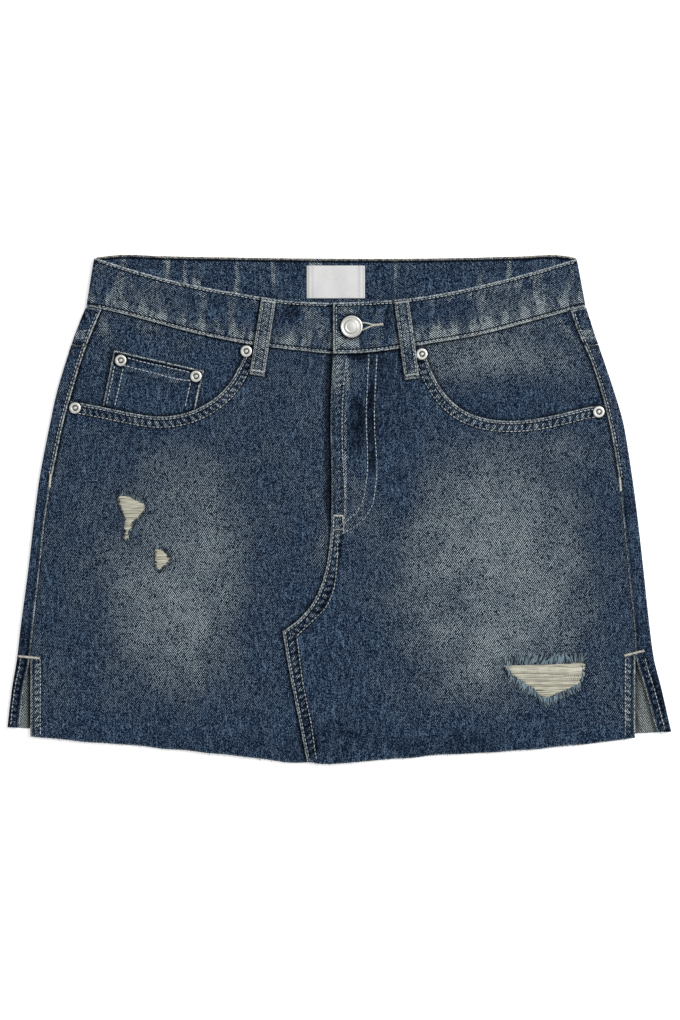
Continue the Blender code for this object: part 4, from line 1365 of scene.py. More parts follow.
@dataclass(frozen=True)
class WrappedPiece:
    """A back piece that turns round the side fold onto the front: a panel or a yoke."""

    node: str
    side: Side
    tops: tuple[float, float, float, float]
    feet: tuple[float, float, float, float]
    flat: Point
    area: float
    has_vent: bool
    sewn_down_to: float = 22.0
    under_cell: float = 6.0
    folds: int = 9

    def columns(self) -> tuple[Array, int, int]:
        """The grid's columns.

        Returns:
            Places 0 to 1 under the skirt, 1 to 2 round the fold and 2 to 3 over the strip, then where the
            fold's columns start and end.
        """
        under = graded(240, self.under_cell, first=0.4, growth=0.15)
        turn = np.linspace(0, 1, self.folds + 1)[1:-1]
        strip = graded(11, 0.9, first=0.25, growth=0.2)
        return np.concatenate([under, 1 + turn, 2 + strip]), len(under), len(under) + len(turn)

    def heights(self, ends: tuple[float, float, float, float], place_at: Array) -> Array:
        """Height of a crosswise edge at each column, from those at the middle, the fold and the strip."""
        return np.interp(place_at, [0, 1, 2, 3], ends)

    def face(self, y: Array, place_at: Array, first: int, last: int, inset: Array | float) -> Array:
        """One side of the cloth, inset from the outer one.

        Args:
            y: Heights as (rows, columns).
            place_at: The columns' places.
            first: Where the fold's columns start.
            last: Where they end.
            inset: How far the side lies inside the outer one.

        Returns:
            Points as (rows, columns, 3).
        """
        inset = np.broadcast_to(inset, y.shape)
        turn = side_value("fold", self.side, y) - FOLD_RADIUS
        edge = side_value("seam", self.side, y) + HALF_GAP
        x, z = np.empty_like(y), np.empty_like(y)
        x[:, :first] = HALF_GAP + (turn[:, :first] - HALF_GAP) * place_at[:first]
        z[:, :first] = inset[:, :first]
        angle = math.pi * (place_at[first:last] - 1)
        radius = FOLD_RADIUS - inset[:, first:last]
        x[:, first:last] = turn[:, first:last] + radius * np.sin(angle)
        z[:, first:last] = FOLD_RADIUS - radius * np.cos(angle)
        x[:, last:] = turn[:, last:] + (edge - turn)[:, last:] * (place_at[last:] - 2)
        z[:, last:] = BODY_TOP - inset[:, last:]
        return np.stack([self.side.sign * x, y, z], axis=-1)

    def build(self, finishes: Finishes) -> Thing:
        """Makes the piece.

        Args:
            finishes: The skirt's finishes.

        Returns:
            The object.
        """
        place_at, first, last = self.columns()
        tall = abs(self.tops[0] - self.feet[0])
        corner = (VENT_TOP - self.tops[3]) / (self.feet[3] - self.tops[3]) if self.has_vent else None
        down = graded(tall, 3.4, corners=(corner,) if corner else (), first=0.35)[:, None]
        upper, lower = self.heights(self.tops, place_at), self.heights(self.feet, place_at)
        y = upper + (lower - upper) * down
        outer = self.face(y, place_at, first, last, 0.0)
        x = outer[..., 0] * self.side.sign
        # distances: to the seam at the strip's edge, to the seam in the middle, and to the upper edge
        over = place_at >= 1.5
        strip_gap = np.where(over, x - side_value("seam", self.side, y) - HALF_GAP, 99.0)
        middle_gap = np.where(place_at < 1, x - HALF_GAP, 99.0)
        seam_gap = np.abs(upper - y)
        gaps = np.stack([strip_gap, middle_gap, seam_gap])
        best = gaps.argmin(axis=0)
        edge = np.take_along_axis(gaps, best[None], axis=0)[0]
        along = np.where(best == 2, x, -y)
        below_vent = (y < VENT_TOP) & (best == 0)
        strip_rim = 0.6 + 0.7 * ease(-4, 4, y - self.sewn_down_to)
        rim = np.choose(best, [np.where(below_vent, 0.8, strip_rim), 0.5, 0.6])
        sewn = np.choose(best, [np.where(below_vent, 0.9, 0.0), 0.8, 0.8])
        at = EdgeField(edge, along, rim, sewn, np.full(y.shape, 11.0))
        right = self.face(y, place_at, first, last, -at.relief(BACK_ROWS))
        wrong = self.face(y, place_at, first, last, CLOTH)
        seat = 0.55 * np.exp(-((x - 120) / 60) ** 2 - ((y - 5) / 95) ** 2)
        yoke_seam = 0.55 * hump(135, 3.5, y) * (1 + wobble(x, 1.7)) - 0.2 * hump(146, 5, y)
        wash = 0.12 + 0.12 * wobble(y / 24, 0.9) * over + seat * ~over
        wash = wash + over * (-0.24 * ease(-60, -20, -y) + yoke_seam)
        # painted shade: a dark line under the yoke seam on the strip, and a painted shadow of the front's
        # free edge on the back's inside in the vent
        shade = 0.8 * over * hump(YOKE_SEAM_SIDE, 1.6, y)
        beside = np.abs(x - self.side.cut_edge(y))
        shade = np.where(~over & (y < VENT_TOP), 0.9 * (1 - ease(0.5, 4.5, beside)), shade)
        return laid_sheet(self.node, "denim", (right, wrong), [finishes.panel, finishes.wrong_side],
                          at.values(wash, shade))


class Back:
    """The yokes and back panels of both sides."""

    def __init__(self) -> None:
        """Cuts the pieces."""
        self.pieces: list[WrappedPiece] = []
        for side in Side:
            over, corner = (float(edge_y(WAIST_SEAM, side, side.sign * x))
                            for x in (side.band_folds[0] - BAND_FOLD_RADIUS, side.waist_corner_x))
            waist = tuple(value - GAP for value in (WAIST_SEAM_BACK, WAIST_SEAM_FOLD, over, corner))
            seam = (YOKE_SEAM_CENTRE, YOKE_SEAM_SIDE, YOKE_SEAM_SIDE, YOKE_SEAM_SIDE)
            self.pieces.append(WrappedPiece(
                f"yoke_{side.label}", side, waist,
                tuple(value + HALF_GAP for value in seam), (0.215, 0.065), 0.0091, False))
            self.pieces.append(WrappedPiece(
                f"back_{side.label}", side, tuple(value - HALF_GAP for value in seam),
                (BACK_HEM_CENTRE, side.back_hem, side.back_hem, side.back_hem), (0.27, 0.30), 0.0709, True))

    def build(self, finishes: Finishes) -> None:
        """Makes the pieces."""
        for piece in self.pieces:
            piece.build(finishes)


@dataclass(frozen=True)
class Waistband:
    """The waistband, one strip right round from the overlap's end to the end that it covers."""

    cell: float = 2.2
    back_cell: float = 4.0
    flat: Point = (0.785, 0.04)
    area: float = 0.0302
    washes: tuple[Point, ...] = (
        (-190, -0.05), (-165, 0.35), (-140, 0.52), (-114, 0.2), (-89, 0.2), (-64, 0.12), (-38, 0.08),
        (-5, 0.15), (26, 0.0), (40, 0.1), (64, 0.3), (89, 0.42), (114, 0.6), (140, 0.66), (180, 0.4))
    spots: tuple[Wash, ...] = (
        Wash(-36, 150, 14, 12, -0.4), Wash(146, 172, 20, 9, -0.2, -0.3), Wash(5, 153, 8, 4, 0.9, 0.3),
        Wash(4, 129, 11, 4.5, 1.0, 0.3), Wash(-4, 141, 2, 16, 0.5), Wash(25, 150, 5, 4, 0.4),
        Wash(24, 130, 3, 5, 0.4, 0.5), Wash(36, 141, 8, 14, -0.35), Wash(96, 148, 30, 6, -0.35, -0.3),
        Wash(-24, 150, 7, 4, 0.5, 0.4), Wash(-24, 131, 4, 6, 0.6, -0.5), Wash(-40, 130, 4, 7, 0.5, -0.5),
        Wash(100, 158, 26, 5, -0.3, -0.3), Wash(-66, 134, 18, 8, -0.25, -0.2),
        Wash(-104, 144, 11, 9, -0.25), Wash(-184, 166, 9, 12, -0.3), Wash(150, 176, 16, 7, -0.2, -0.3),
    )

    @staticmethod
    def front(side: Side, across: Array, along: Array, inset: Array | float) -> Array:
        """Columns of the front from its end to the side fold.

        Args:
            side: Which half.
            across: Shares from the lower edge to the upper one.
            along: Shares from the end to the fold.
            inset: How far this face lies inside the outer one.

        Returns:
            Points as (rows, columns, 3).
        """
        seam, top = (waist_line(table, side, table[side.label][0][0], table[side.label][-1][0], along)
                     for table in (WAIST_SEAM, WAIST_TOP))
        plan = seam[None] + (top - seam)[None] * across[:, None, None]
        level = band_height(side, plan[..., 0], plan[..., 1])
        level[:, -1] = 2 * BAND_FOLD_RADIUS
        return np.dstack([plan, level - inset])

    @staticmethod
    def back(across: Array, along: Array, inset: Array | float) -> Array:
        """Columns of the back from the wearer's left fold to the right one."""
        left, right = ((low + (high - low) * across - BAND_FOLD_RADIUS)[:, None]
                       for low, high in (side.band_folds for side in Side))
        x = left - (left + right) * along
        outward = np.abs(x) / np.where(x > 0, left, right)
        seam = WAIST_SEAM_BACK + (WAIST_SEAM_FOLD - WAIST_SEAM_BACK) * outward
        knots = np.array(WAIST_TOP_BACK)
        top = curve_value(knots[:, 0], knots[:, 1], x)
        return np.stack([x, seam + (top - seam) * across[:, None], np.broadcast_to(inset, x.shape)], axis=-1)

    @staticmethod
    def turn(start: Array, end: Array, side: Side, across: Array, inset: Array | float, cells: int) -> Array:
        """Columns round a side fold, between the columns start and end."""
        reach = side.band_folds[0] + (side.band_folds[1] - side.band_folds[0]) * across
        radius = BAND_FOLD_RADIUS - inset
        columns = []
        for step in range(1, cells):
            share = step / cells
            flip = 1 if start[0, 2] > end[0, 2] else -1
            x = side.sign * (reach - BAND_FOLD_RADIUS + radius * math.sin(math.pi * share))
            y = start[:, 1] + (end[:, 1] - start[:, 1]) * share
            z = np.full_like(x, BAND_FOLD_RADIUS) + flip * radius * math.cos(math.pi * share)
            columns.append(np.stack([x, y, z], axis=-1))
        return np.stack(columns, axis=1)

    def face(self, across: Array, alongs: tuple[Array, Array, Array], inset: float) -> Array:
        """The whole strip at one depth, as (rows, columns, 3)."""
        left = self.front(Side.LEFT, across, alongs[0], inset)
        back = self.back(across, alongs[1], inset)
        right = self.front(Side.RIGHT, across, alongs[2], inset)[:, ::-1]
        turns = [self.turn(left[:, -1], back[:, 0], Side.LEFT, across, inset, 9),
                 self.turn(back[:, -1], right[:, 0], Side.RIGHT, across, inset, 9)]
        return np.concatenate([left, turns[0], back, turns[1], right], axis=1)

    def build(self, finishes: Finishes) -> Thing:
        """Makes the band.

        Args:
            finishes: The skirt's finishes.

        Returns:
            The object.
        """
        across = graded(39.0, 1.5, first=0.22, growth=0.16)
        end = graded(370, self.cell, first=0.25)
        half = end[:np.searchsorted(end, 0.5) + 1] * 2
        half = half / half[-1]
        alongs = (half, np.linspace(0, 1, round(370 / self.back_cell) + 1), half)
        outer, inner = (self.face(across, alongs, inset) for inset in (0.0, BAND_CLOTH))
        run = np.concatenate([np.zeros((len(across), 1)),
                              np.cumsum(np.linalg.norm(np.diff(outer, axis=1), axis=2), axis=1)], axis=1)
        tall = np.linalg.norm(outer[-1] - outer[0], axis=1)[None]
        gaps = np.stack([across[:, None] * tall, (1 - across[:, None]) * tall, run, run[:, -1:] - run])
        best = gaps.argmin(axis=0)
        edge = gaps.min(axis=0)
        along = np.where(best < 2, run, 900 + across[:, None] * tall)
        at = EdgeField(edge, along, np.where(best < 2, 1.2, 1.1), np.full(edge.shape, 0.3),
                       np.full(edge.shape, 99.0))
        sink = -at.relief(BAND_ROWS)
        mean = 0.1 * (1 + wobble(run / 9, 1.1)) * ease(2, 12, edge)
        depth = (outer - inner) / BAND_CLOTH
        right = outer - depth * (sink + mean)[..., None]
        wrong = inner + depth * (0.42 * (1 - np.clip(edge / 0.9, 0, 1)) ** 2
                                 + 0.15 * hump(BAND_ROWS[0], 0.5, edge))[..., None]
        knots = np.array(self.washes)
        x, y, z = outer[..., 0], outer[..., 1], outer[..., 2]
        low = (1 - across[:, None]) * 0.4 - 0.22
        over = z > BAND_FOLD_RADIUS
        pucker = np.clip(np.sin(0.45 * x + wobble(x / 15, 2.0)), 0, 1) * hump(0.2, 0.17, across[:, None])
        wash = curve_value(knots[:, 0], knots[:, 1], x) + 0.1 + low + 0.75 * pucker * ease(26, 44, np.abs(x))
        wash = np.where(over, wash + washed(self.spots, 0.0, x, y), 0.02)
        # painted shadow round the loops, the rivets and the button, and beside the overlapping end of the
        # band
        shades = [*fitting_shades(Side.LEFT), *fitting_shades(Side.RIGHT),
                  Shade(ring(*BUTTON_AT, BUTTON_RADIUS + 0.1), 2.6, 0.75)]
        shade = np.where(over, shaded(shades, x, y), 0.0)
        covered = Shade(np.array([WAIST_SEAM["left"][0], WAIST_TOP["left"][0]], float), 3.2, 0.8)
        shade = np.where(over & (run > run.max() / 2), np.maximum(shade, shaded([covered], x, y)), shade)
        return laid_sheet("waistband", "denim_band", (right, wrong), [finishes.band, finishes.band_inside],
                          at.values(wash, shade))


@dataclass(frozen=True)
class BeltLoop:
    """A belt loop: over the waistband, then down to the panel below it."""

    side: Side
    panel: Surface
    flat: Point = (0.0116, 0.064)

    def lines(self) -> tuple[Array, Array, Array, Array]:
        """Its ends and its directions along and across, in plan."""
        upper, lower = (np.array(point, float) for point in BELT_LOOPS[self.side.label])
        along = (lower - upper) / np.linalg.norm(lower - upper)
        return upper, lower, along, np.array([-along[1], along[0]])

    def under(self, x: Array, y: Array) -> Array:
        """Height of its lower face at each point."""
        upper = self.lines()[0]
        seam = edge_y(WAIST_SEAM, self.side, x)
        off = ease(*LOOP_LEAVES_BAND, y - seam)
        arch = LOOP_ARCH * np.sin(math.pi * np.clip((upper[1] - y) / (upper[1] - seam), 0, 1))
        return ((1 - off) * (band_height(self.side, x, np.maximum(y, seam)) + arch)
                + off * self.panel(x, y) + GAP)

    def top(self, x: Array, y: Array) -> Array:
        """Height of its upper face at each point."""
        return self.under(x, y) + LOOP_CLOTH - 0.1

    def build(self, finishes: Finishes) -> Thing:
        """Makes the loop.

        Args:
            finishes: The skirt's finishes.

        Returns:
            The object.
        """
        upper, lower, _, across = self.lines()
        tall, half = float(np.linalg.norm(lower - upper)), BELT_LOOP_WIDTH / 2
        down, wide = graded(tall, 1.0, first=0.3), graded(BELT_LOOP_WIDTH, 0.7, first=0.22, growth=0.2)
        centre = upper + (lower - upper) * down[:, None]
        plan = centre[:, None] + across * ((wide * 2 - 1) * half)[None, :, None]
        x, y = plan[..., 0], plan[..., 1]
        side_gap = np.minimum(wide, 1 - wide)[None] * BELT_LOOP_WIDTH + 0 * x
        end_gap = np.minimum(down, 1 - down)[:, None] * tall + 0 * x
        edge = np.minimum(side_gap, end_gap)
        along = down[:, None] * tall + 40 * (wide > 0.5)[None] + 0 * x
        ends = end_gap < 2.2
        at = EdgeField(edge, along, np.where(ends, 0.7, 0.85), np.where(ends, 0.2, 0.35),
                       np.full(x.shape, 99.0))
        under = self.under(x, y)
        crown = 0.18 * np.sin(math.pi * wide)[None]
        right = np.dstack([plan, under + LOOP_CLOTH + at.relief(LOOP_ROWS) - 0.18 + crown])
        wrong = np.dstack([plan, under])
        wash = 0.42 - 0.12 * self.side.sign + 0.25 * crown / 0.18 + 0 * x
        return laid_sheet(f"belt_loop_{self.side.label}", "denim_band", (right, wrong), [finishes.loop] * 2,
                          at.values(wash, 0 * x))


@dataclass(frozen=True)
class BlankLabel:
    """The blank woven label on the inside of the back waistband."""

    level: float = BAND_CLOTH + GAP + LABEL_CLOTH
    flat: Point = (0.045, 0.0253)

    def build(self, finishes: Finishes) -> Thing:
        """Makes the label.

        Args:
            finishes: The skirt's finishes.

        Returns:
            The object.
        """
        (left, bottom), (right_x, top) = LABEL_CORNERS
        wide, tall = right_x - left, top - bottom
        columns, rows = graded(wide, 1.0, first=0.2), graded(tall, 1.0, first=0.2)
        x, y = np.meshgrid(left + wide * columns, top - tall * rows)
        side_gap = np.minimum(x - left, right_x - x)
        edge = np.minimum(side_gap, np.minimum(y - bottom, top - y))
        swell = 0.22 * (1 + wobble(x / 5 + y / 16, 0.5)) * ease(0, 6, side_gap)
        # darker lines along the folded sides, and a painted shadow along the lower edge
        folded = 0.9 * hump(1.3, 0.5, side_gap) + 0.5 * hump(4.4, 0.9, side_gap)
        shade = folded + 0.8 * (1 - ease(0, 0.6, y - bottom))
        fold = 0.22 * hump(2.6, 1.6, side_gap)
        z = self.level + swell + fold - 0.18 * (1 - np.clip(edge / 0.6, 0, 1)) ** 2
        faces = (np.dstack([x, y, z]), np.dstack([x, y, self.level - LABEL_CLOTH + 0 * x]))
        return laid_sheet("label", "label_satin", faces, [finishes.satin] * 2, {"edge": edge, "shade": shade})


# ---- hardware

@dataclass(frozen=True)
class Turned:
    """A small round fitting pressed from sheet: a disc whose faces are inset and moved, ring by ring."""

    name: str
    node: str
    radius: float
    at: tuple[float, float, float]
    rings: tuple[Point, ...]
    shade_rings: tuple[tuple[float, float, float], ...]
    thick: float
    sides: int

    def build(self, finishes: Finishes) -> Thing:
        """Models the fitting from a cylinder.

        Args:
            finishes: The skirt's finishes.

        Returns:
            The finished object, at the origin.
        """
        bpy.ops.object.select_all(action="DESELECT")
        x, y, z = self.at
        bpy.ops.mesh.primitive_cylinder_add(
            vertices=self.sides, radius=self.radius * MM, depth=self.thick * MM, end_fill_type="NGON",
            location=(x * MM, y * MM, (z + self.thick / 2) * MM))
        obj = bpy.context.object
        obj.name = obj.data.name = self.name
        bpy.ops.object.transform_apply(location=True)
        top = max(range(len(obj.data.polygons)), key=lambda i: obj.data.polygons[i].center.z)
        for polygon in obj.data.polygons:
            polygon.select = polygon.index == top
        for edge in obj.data.edges:
            edge.select = False
        for vert in obj.data.vertices:
            vert.select = vert.index in obj.data.polygons[top].vertices
        bpy.ops.object.mode_set(mode="EDIT")
        bpy.ops.mesh.select_mode(type="FACE")
        for inset, lift in self.rings:
            bpy.ops.mesh.inset(thickness=inset * MM, depth=0.0)
            bpy.ops.transform.translate(value=(0, 0, lift * MM))
        bpy.ops.mesh.select_all(action="SELECT")
        bpy.ops.mesh.normals_make_consistent(inside=False)
        bpy.ops.object.mode_set(mode="OBJECT")
        bevel = obj.modifiers.new("soft_edges", "BEVEL")
        bevel.width, bevel.segments = 0.14 * MM, 3
        bevel.limit_method, bevel.angle_limit = "ANGLE", math.radians(28)
        bpy.ops.object.modifier_apply(modifier=bevel.name)
        bpy.ops.object.shade_smooth_by_angle(angle=math.radians(50))
        obj.data.materials.append(finishes.metal)
        spots = np.array([tuple(vert.co) for vert in obj.data.vertices])[:, :2] / MM - (x, y)
        out = np.hypot(*spots.T)
        # painted shade in the grooves and round the rim
        shade = sum(amount * hump(radius, width, out) for radius, width, amount in self.shade_rings)
        obj.data.attributes.new("shade", "FLOAT", "POINT").data.foreach_set("value", shade.astype(np.float32))
        return place(obj, "nickel", self.node)


class Hardware:
    """The shank button and the six rivets."""

    BUTTON_RINGS = ((0.35, 0.35), (0.55, 0.2), (0.55, -0.25), (0.35, -0.3), (1.5, 0.1), (0.25, 0.25),
                    (0.45, 0.1), (0.3, -0.2), (1.4, 0.15), (1.2, 0.1), (0.7, 0.03))
    RIVET_RINGS = ((0.25, 0.3), (0.45, 0.15), (0.5, 0.0), (0.8, -0.02), (0.25, -0.15), (0.25, -0.3),
                   (0.35, 0.0), (0.2, 0.45), (0.3, 0.15), (0.35, 0.05))
    # (radius, width, darkness) of painted shade: in the grooves, and a painted shadow round the rim
    BUTTON_SHADE_RINGS = ((5.3, 0.4, 0.4), (7.4, 0.4, 0.2), (3.0, 2.0, 0.1), (8.6, 0.4, 0.3))
    RIVET_SHADE_RINGS = ((1.75, 0.7, 1.0), (4.55, 0.45, 0.5))

    @staticmethod
    def seat(surface: Surface, x: float, y: float, radius: float) -> float:
        """The highest cloth below a round fitting."""
        turn = np.linspace(0, 2 * math.pi, 13)
        return float(np.max(surface(x + radius * np.cos(turn), y + radius * np.sin(turn)))) + GAP

    def build(self, finishes: Finishes) -> None:
        """Makes the button and the rivets."""
        x, y = BUTTON_AT
        level = self.seat(lambda a, b: band_height(Side.LEFT, a, b), x, y, BUTTON_RADIUS)
        Turned("shank_button", "button", BUTTON_RADIUS, (x, y, level), self.BUTTON_RINGS,
               self.BUTTON_SHADE_RINGS, 1.5, sides=64).build(finishes)
        for rivet in RIVETS:
            level = self.seat(HEIGHTS[rivet.cloth], rivet.x, rivet.y, RIVET_RADIUS)
            Turned(f"{rivet.name}_fitting", rivet.name, RIVET_RADIUS, (rivet.x, rivet.y, level),
                   self.RIVET_RINGS, self.RIVET_SHADE_RINGS, 0.45, sides=32).build(finishes)


# ---- sewing

@dataclass(frozen=True)
class Row:
    """A row of machine stitches along a line in plan."""

    points: Line
    top: Surface
    pitch: float = STITCH_PITCH
    below: bool = False
    soil: float = 0.0


class Sewing:
    """Machine stitches, bar tacks and the buttonhole."""

    LENGTH, WIDTH, HEIGHT = 2.4, 0.72, 0.5

    def __init__(self) -> None:
        """Models one stitch, which all the rows repeat."""
        bpy.ops.object.select_all(action="DESELECT")
        bpy.ops.mesh.primitive_uv_sphere_add(segments=6, ring_count=5, radius=0.5 * MM)
        obj = bpy.context.object
        bpy.ops.object.mode_set(mode="EDIT")
        bpy.ops.mesh.select_all(action="SELECT")
        bpy.ops.transform.rotate(value=math.pi / 2, orient_axis="Y", center_override=(0, 0, 0))
        bpy.ops.transform.resize(value=(self.LENGTH, self.WIDTH, self.HEIGHT), center_override=(0, 0, 0))
        bpy.ops.object.mode_set(mode="OBJECT")
        mesh = obj.data
        self.points = np.array([tuple(vert.co) for vert in mesh.vertices]) / MM
        self.faces = sorted(list(face.vertices) for face in mesh.polygons)
        bpy.data.objects.remove(obj)
        self.random = np.random.default_rng(SEED)

    def rows(self, name: str, rows: Sequence[Row], material: Material, slot: str) -> Thing:
        """Sews rows of stitches as one mesh.

        Args:
            name: The piece's name.
            rows: The rows.
            material: Their thread.
            slot: Not used.

        Returns:
            The object.
        """
        centres, directions, soils = [], [], []
        for row in rows:
            length = travelled(even_line(row.points, 1.0))[-1]
            count = max(1, round(length / row.pitch))
            shares = (np.arange(count) + 0.5) / count
            middle = line_at(row.points, shares)
            step = 0.35 / length
            ends = [line_at(row.points, np.clip(shares + offset, 0, 1)) for offset in (-step, step)]
            flat = ends[1] - ends[0]
            turn = np.arctan2(flat[:, 1], flat[:, 0]) + self.random.normal(0, 0.05, count)
            middle = middle + self.random.normal(0, 0.06, middle.shape)
            level = row.top(middle[:, 0], middle[:, 1])
            centres.append(np.column_stack([middle, level + (-0.02 if row.below else 0.08)]))
            reach = 0.9 * np.column_stack([np.cos(turn), np.sin(turn)])
            rise = (row.top(*(middle + reach).T) - row.top(*(middle - reach).T)) / 1.8
            directions.append(np.column_stack([np.cos(turn), np.sin(turn), np.clip(rise, -0.35, 0.35)]))
            soils.append(np.full(count, row.soil))
        centre, along = np.vstack(centres), np.vstack(directions)
        along /= np.linalg.norm(along, axis=1, keepdims=True)
        across = np.cross((0, 0, 1.0), along)
        across /= np.linalg.norm(across, axis=1, keepdims=True)
        up = np.cross(along, across)
        longer = self.random.uniform(0.9, 1.08, (len(centre), 1, 1))
        local = self.points[None] * np.concatenate([longer, np.ones((len(centre), 1, 2))], axis=2)
        points = (centre[:, None] + local[..., 0:1] * along[:, None] + local[..., 1:2] * across[:, None]
                  + local[..., 2:3] * up[:, None])
        size = len(self.points)
        faces = [[corner + size * k for corner in face] for k in range(len(centre)) for face in self.faces]
        shade = np.repeat(np.concatenate(soils) + self.random.uniform(0.0, 0.75, len(centre)), size)
        return place(add_mesh(name, points.reshape(-1, 3), faces, [material], values={"shade": shade}), slot)

    def satin(self, name: str, lines: Sequence[tuple[Line, float, float]], top: Surface,
              material: Material, slot: str) -> Thing:
        """Sews dense crosswise stitches, as in a bar tack or round a buttonhole.

        Args:
            name: The piece's name.
            lines: (points, width, spacing) of each line that they cover.
            top: Height of the cloth.
            material: Their thread.
            slot: Not used.

        Returns:
            The object.
        """
        paths = []
        for points, width, spacing in lines:
            dense = even_line(points, spacing)
            flat = np.gradient(dense, axis=0)
            flat /= np.linalg.norm(flat, axis=1, keepdims=True)
            lean = 0.3 * np.where(np.arange(len(dense)) % 2, 1, -1)[:, None] * flat
            across = np.stack([-flat[:, 1], flat[:, 0]], axis=1) + lean
            for centre, direction in zip(dense, across):
                reach = width / 2 * self.random.uniform(0.85, 1.1)
                share = np.linspace(-1, 1, 6)
                plan = centre + direction * reach * share[:, None] + self.random.normal(0, 0.05, 2)
                lift = 0.55 * np.sqrt(np.maximum(0, 1 - share ** 2)) - 0.12
                paths.append(np.column_stack([plan, top(plan[:, 0], plan[:, 1]) + lift]))
        return yarns(name, slot, material, paths, 0.27, self.random.uniform(0.0, 0.6, len(paths)), sides=5)


def offset_line(points: Line, distance: float, spacing: float = 2.0) -> list[Point]:
    """The line moved sideways, to its left as it runs where distance is above zero."""
    line = even_line(points, spacing)
    step = np.gradient(line, axis=0)
    step /= np.linalg.norm(step, axis=1, keepdims=True)
    return [tuple(point) for point in line + distance * np.stack([-step[:, 1], step[:, 0]], axis=1)]


class Seams:
    """Every row of stitches on the skirt, group by group."""

    def __init__(self, fronts: Fronts, pockets: Pockets, sewing: Sewing) -> None:
        """Keeps the cloth that the rows lie on."""
        self.fronts, self.pockets, self.sewing = fronts, pockets, sewing

    def scoops(self) -> list[Row]:
        """Two rows along each scoop."""
        rows = []
        for side in Side:
            line = scoop_at(side, np.linspace(0.02, 0.99, 60))
            for distance in FRONT_ROWS:
                rows.append(Row(offset_line(line, -side.sign * distance), self.fronts.pieces[side].top))
        return rows

    def fly(self) -> list[Row]:
        """The fly's edge row, its two curved rows and the rows along the overlap."""
        top = self.fronts.pieces[Side.LEFT].top
        edge = [(5.3, 116.5), (2.2, 79.5), (2.2, 46.4), (4.1, 7.9), (3.1, -17.5)]
        inner = [(22.6, 119.5), (20.6, 71.8), (20.6, 21.0), (16.9, 4.0), (3.5, -11.9)]
        outer = [(28.9, 119.5), (26.8, 71.8), (27.7, 16.8), (24.5, 1.7), (13.0, -12.5), (1.5, -18.9)]
        lap = np.array(LAP_FLY)
        curve = offset_line([tuple(p) for p in lap[lap[:, 1] < -3]], 2.0)
        second = [(-1.2, -20.0), (-2.1, -43.7), (-4.2, -60.6), (-10.0, -74.5), (-20.2, -85.3), (-33.1, -97.6)]
        leg_second = [(-32.7, -99.2), (-28.1, -134.6), (-22.4, -162.3), (-17.9, -192.8)]
        raised = lambda x, y: top(x, y) + 0.3 * ease(-30, -20, -y)
        return [Row(edge, top), Row(inner, raised), Row(outer, raised), Row(curve, top), Row(second, top),
                Row(offset_line(LAP_LEG, 2.0), top), Row(leg_second, top)]

    def sides(self) -> list[Row]:
        """The rows on the strips beside the side seams and those on the fronts beside the vents."""
        rows = []
        for side, tack in ((Side.LEFT, 24.0), (Side.RIGHT, 27.0)):
            top = self.fronts.pieces[side].top
            y = np.linspace(151, tack, 24)
            x = side_value("seam", side, y) + HALF_GAP + 2.5
            rows.append(Row(list(zip(side.sign * x, y)), flat_at(STRIP_ROWS_LEVEL)))
            y = np.linspace(VENT_TOP - 2, HEM[side.label][-1][1] + 1.5, 8)
            rows.append(Row(list(zip(side.sign * (side.cut_edge(y) - 7.7), y)), top))
        return rows

    def coin(self) -> list[Row]:
        """Two hem rows along the coin pocket's top and two rows down each side."""
        top = self.pockets.coin.top
        lines = ([(-163.4, 116.5), (-150.7, 113.2), (-129.6, 108.7), (-115.4, 105.6)],
                 [(-167.0, 110.9), (-142.5, 104.8), (-122.8, 99.8), (-114.5, 99.0)],
                 [(-173.1, 110.6), (-179.4, 80.6)], [(-166.6, 108.2), (-173.1, 79.6)],
                 [(-108.1, 96.0), (-111.3, 79.3)], [(-114.7, 97.6), (-118.8, 79.3)])
        return [Row(line, top, soil=-0.3) for line in lines]

    def strips(self) -> list[Row]:
        """The yoke seam's two rows and the vents' rows on the side strips, and the rows on the underside."""
        rows = []
        level, under = flat_at(STRIP_ROWS_LEVEL), flat_at(0.0)
        for side in Side:
            for y in (131.8, 137.4):
                seam, fold = (float(side_value(name, side, np.array([y]))[0]) for name in ("seam", "fold"))
                rows.append(Row([(side.sign * (seam + 1), y), (side.sign * (fold - 2.2), y)], level))
            y = np.linspace(VENT_TOP - 1.5, side.back_hem + 2, 8)
            x = side_value("seam", side, y) + 7.0
            rows.append(Row(list(zip(side.sign * x, y)), level))
            for distance in (2.4, 7.6):
                fold = side_value("fold", side, YOKE_SEAM_SIDE)
                rows.append(Row([(side.sign * 4, YOKE_SEAM_CENTRE + 1 - distance),
                                 (side.sign * (fold - 5), YOKE_SEAM_SIDE - distance)], under, below=True))
        for distance in (2.4, 7.6):
            rows.append(Row([(distance, 150.0), (distance, BACK_HEM_CENTRE + 2)], under, below=True))
        return rows

    def band(self) -> list[Row]:
        """Rows along the band's edges in front, and along its upper edge inside the back."""
        rows = []
        for side in Side:
            top = lambda x, y, side=side: band_height(side, x, y) - 0.2
            start = -2.0 if side is Side.LEFT else -9.5
            reach = side.waist_corner_x + 3
            for table, inward in ((WAIST_SEAM, 2.0), (WAIST_TOP, -2.2)):
                x = np.linspace(start, side.sign * reach, 40)
                y = edge_y(table, side, x) + inward
                rows.append(Row(list(zip(x, y)), top))
        rows.append(Row([(-2.3, 122.8), (-2.3, 156.2)], lambda x, y: band_height(Side.LEFT, x, y) - 0.2))
        knots = np.array(WAIST_TOP_BACK)
        x = np.linspace(-176, 170, 60)
        y = curve_value(knots[:, 0], knots[:, 1], x)
        for inward in (-2.6, 2.6):
            line = y + inward if inward < 0 else np.full(x.shape, WAIST_SEAM_BACK + 3.2)
            rows.append(Row(list(zip(x, line)), flat_at(0.0), below=True))
        return rows

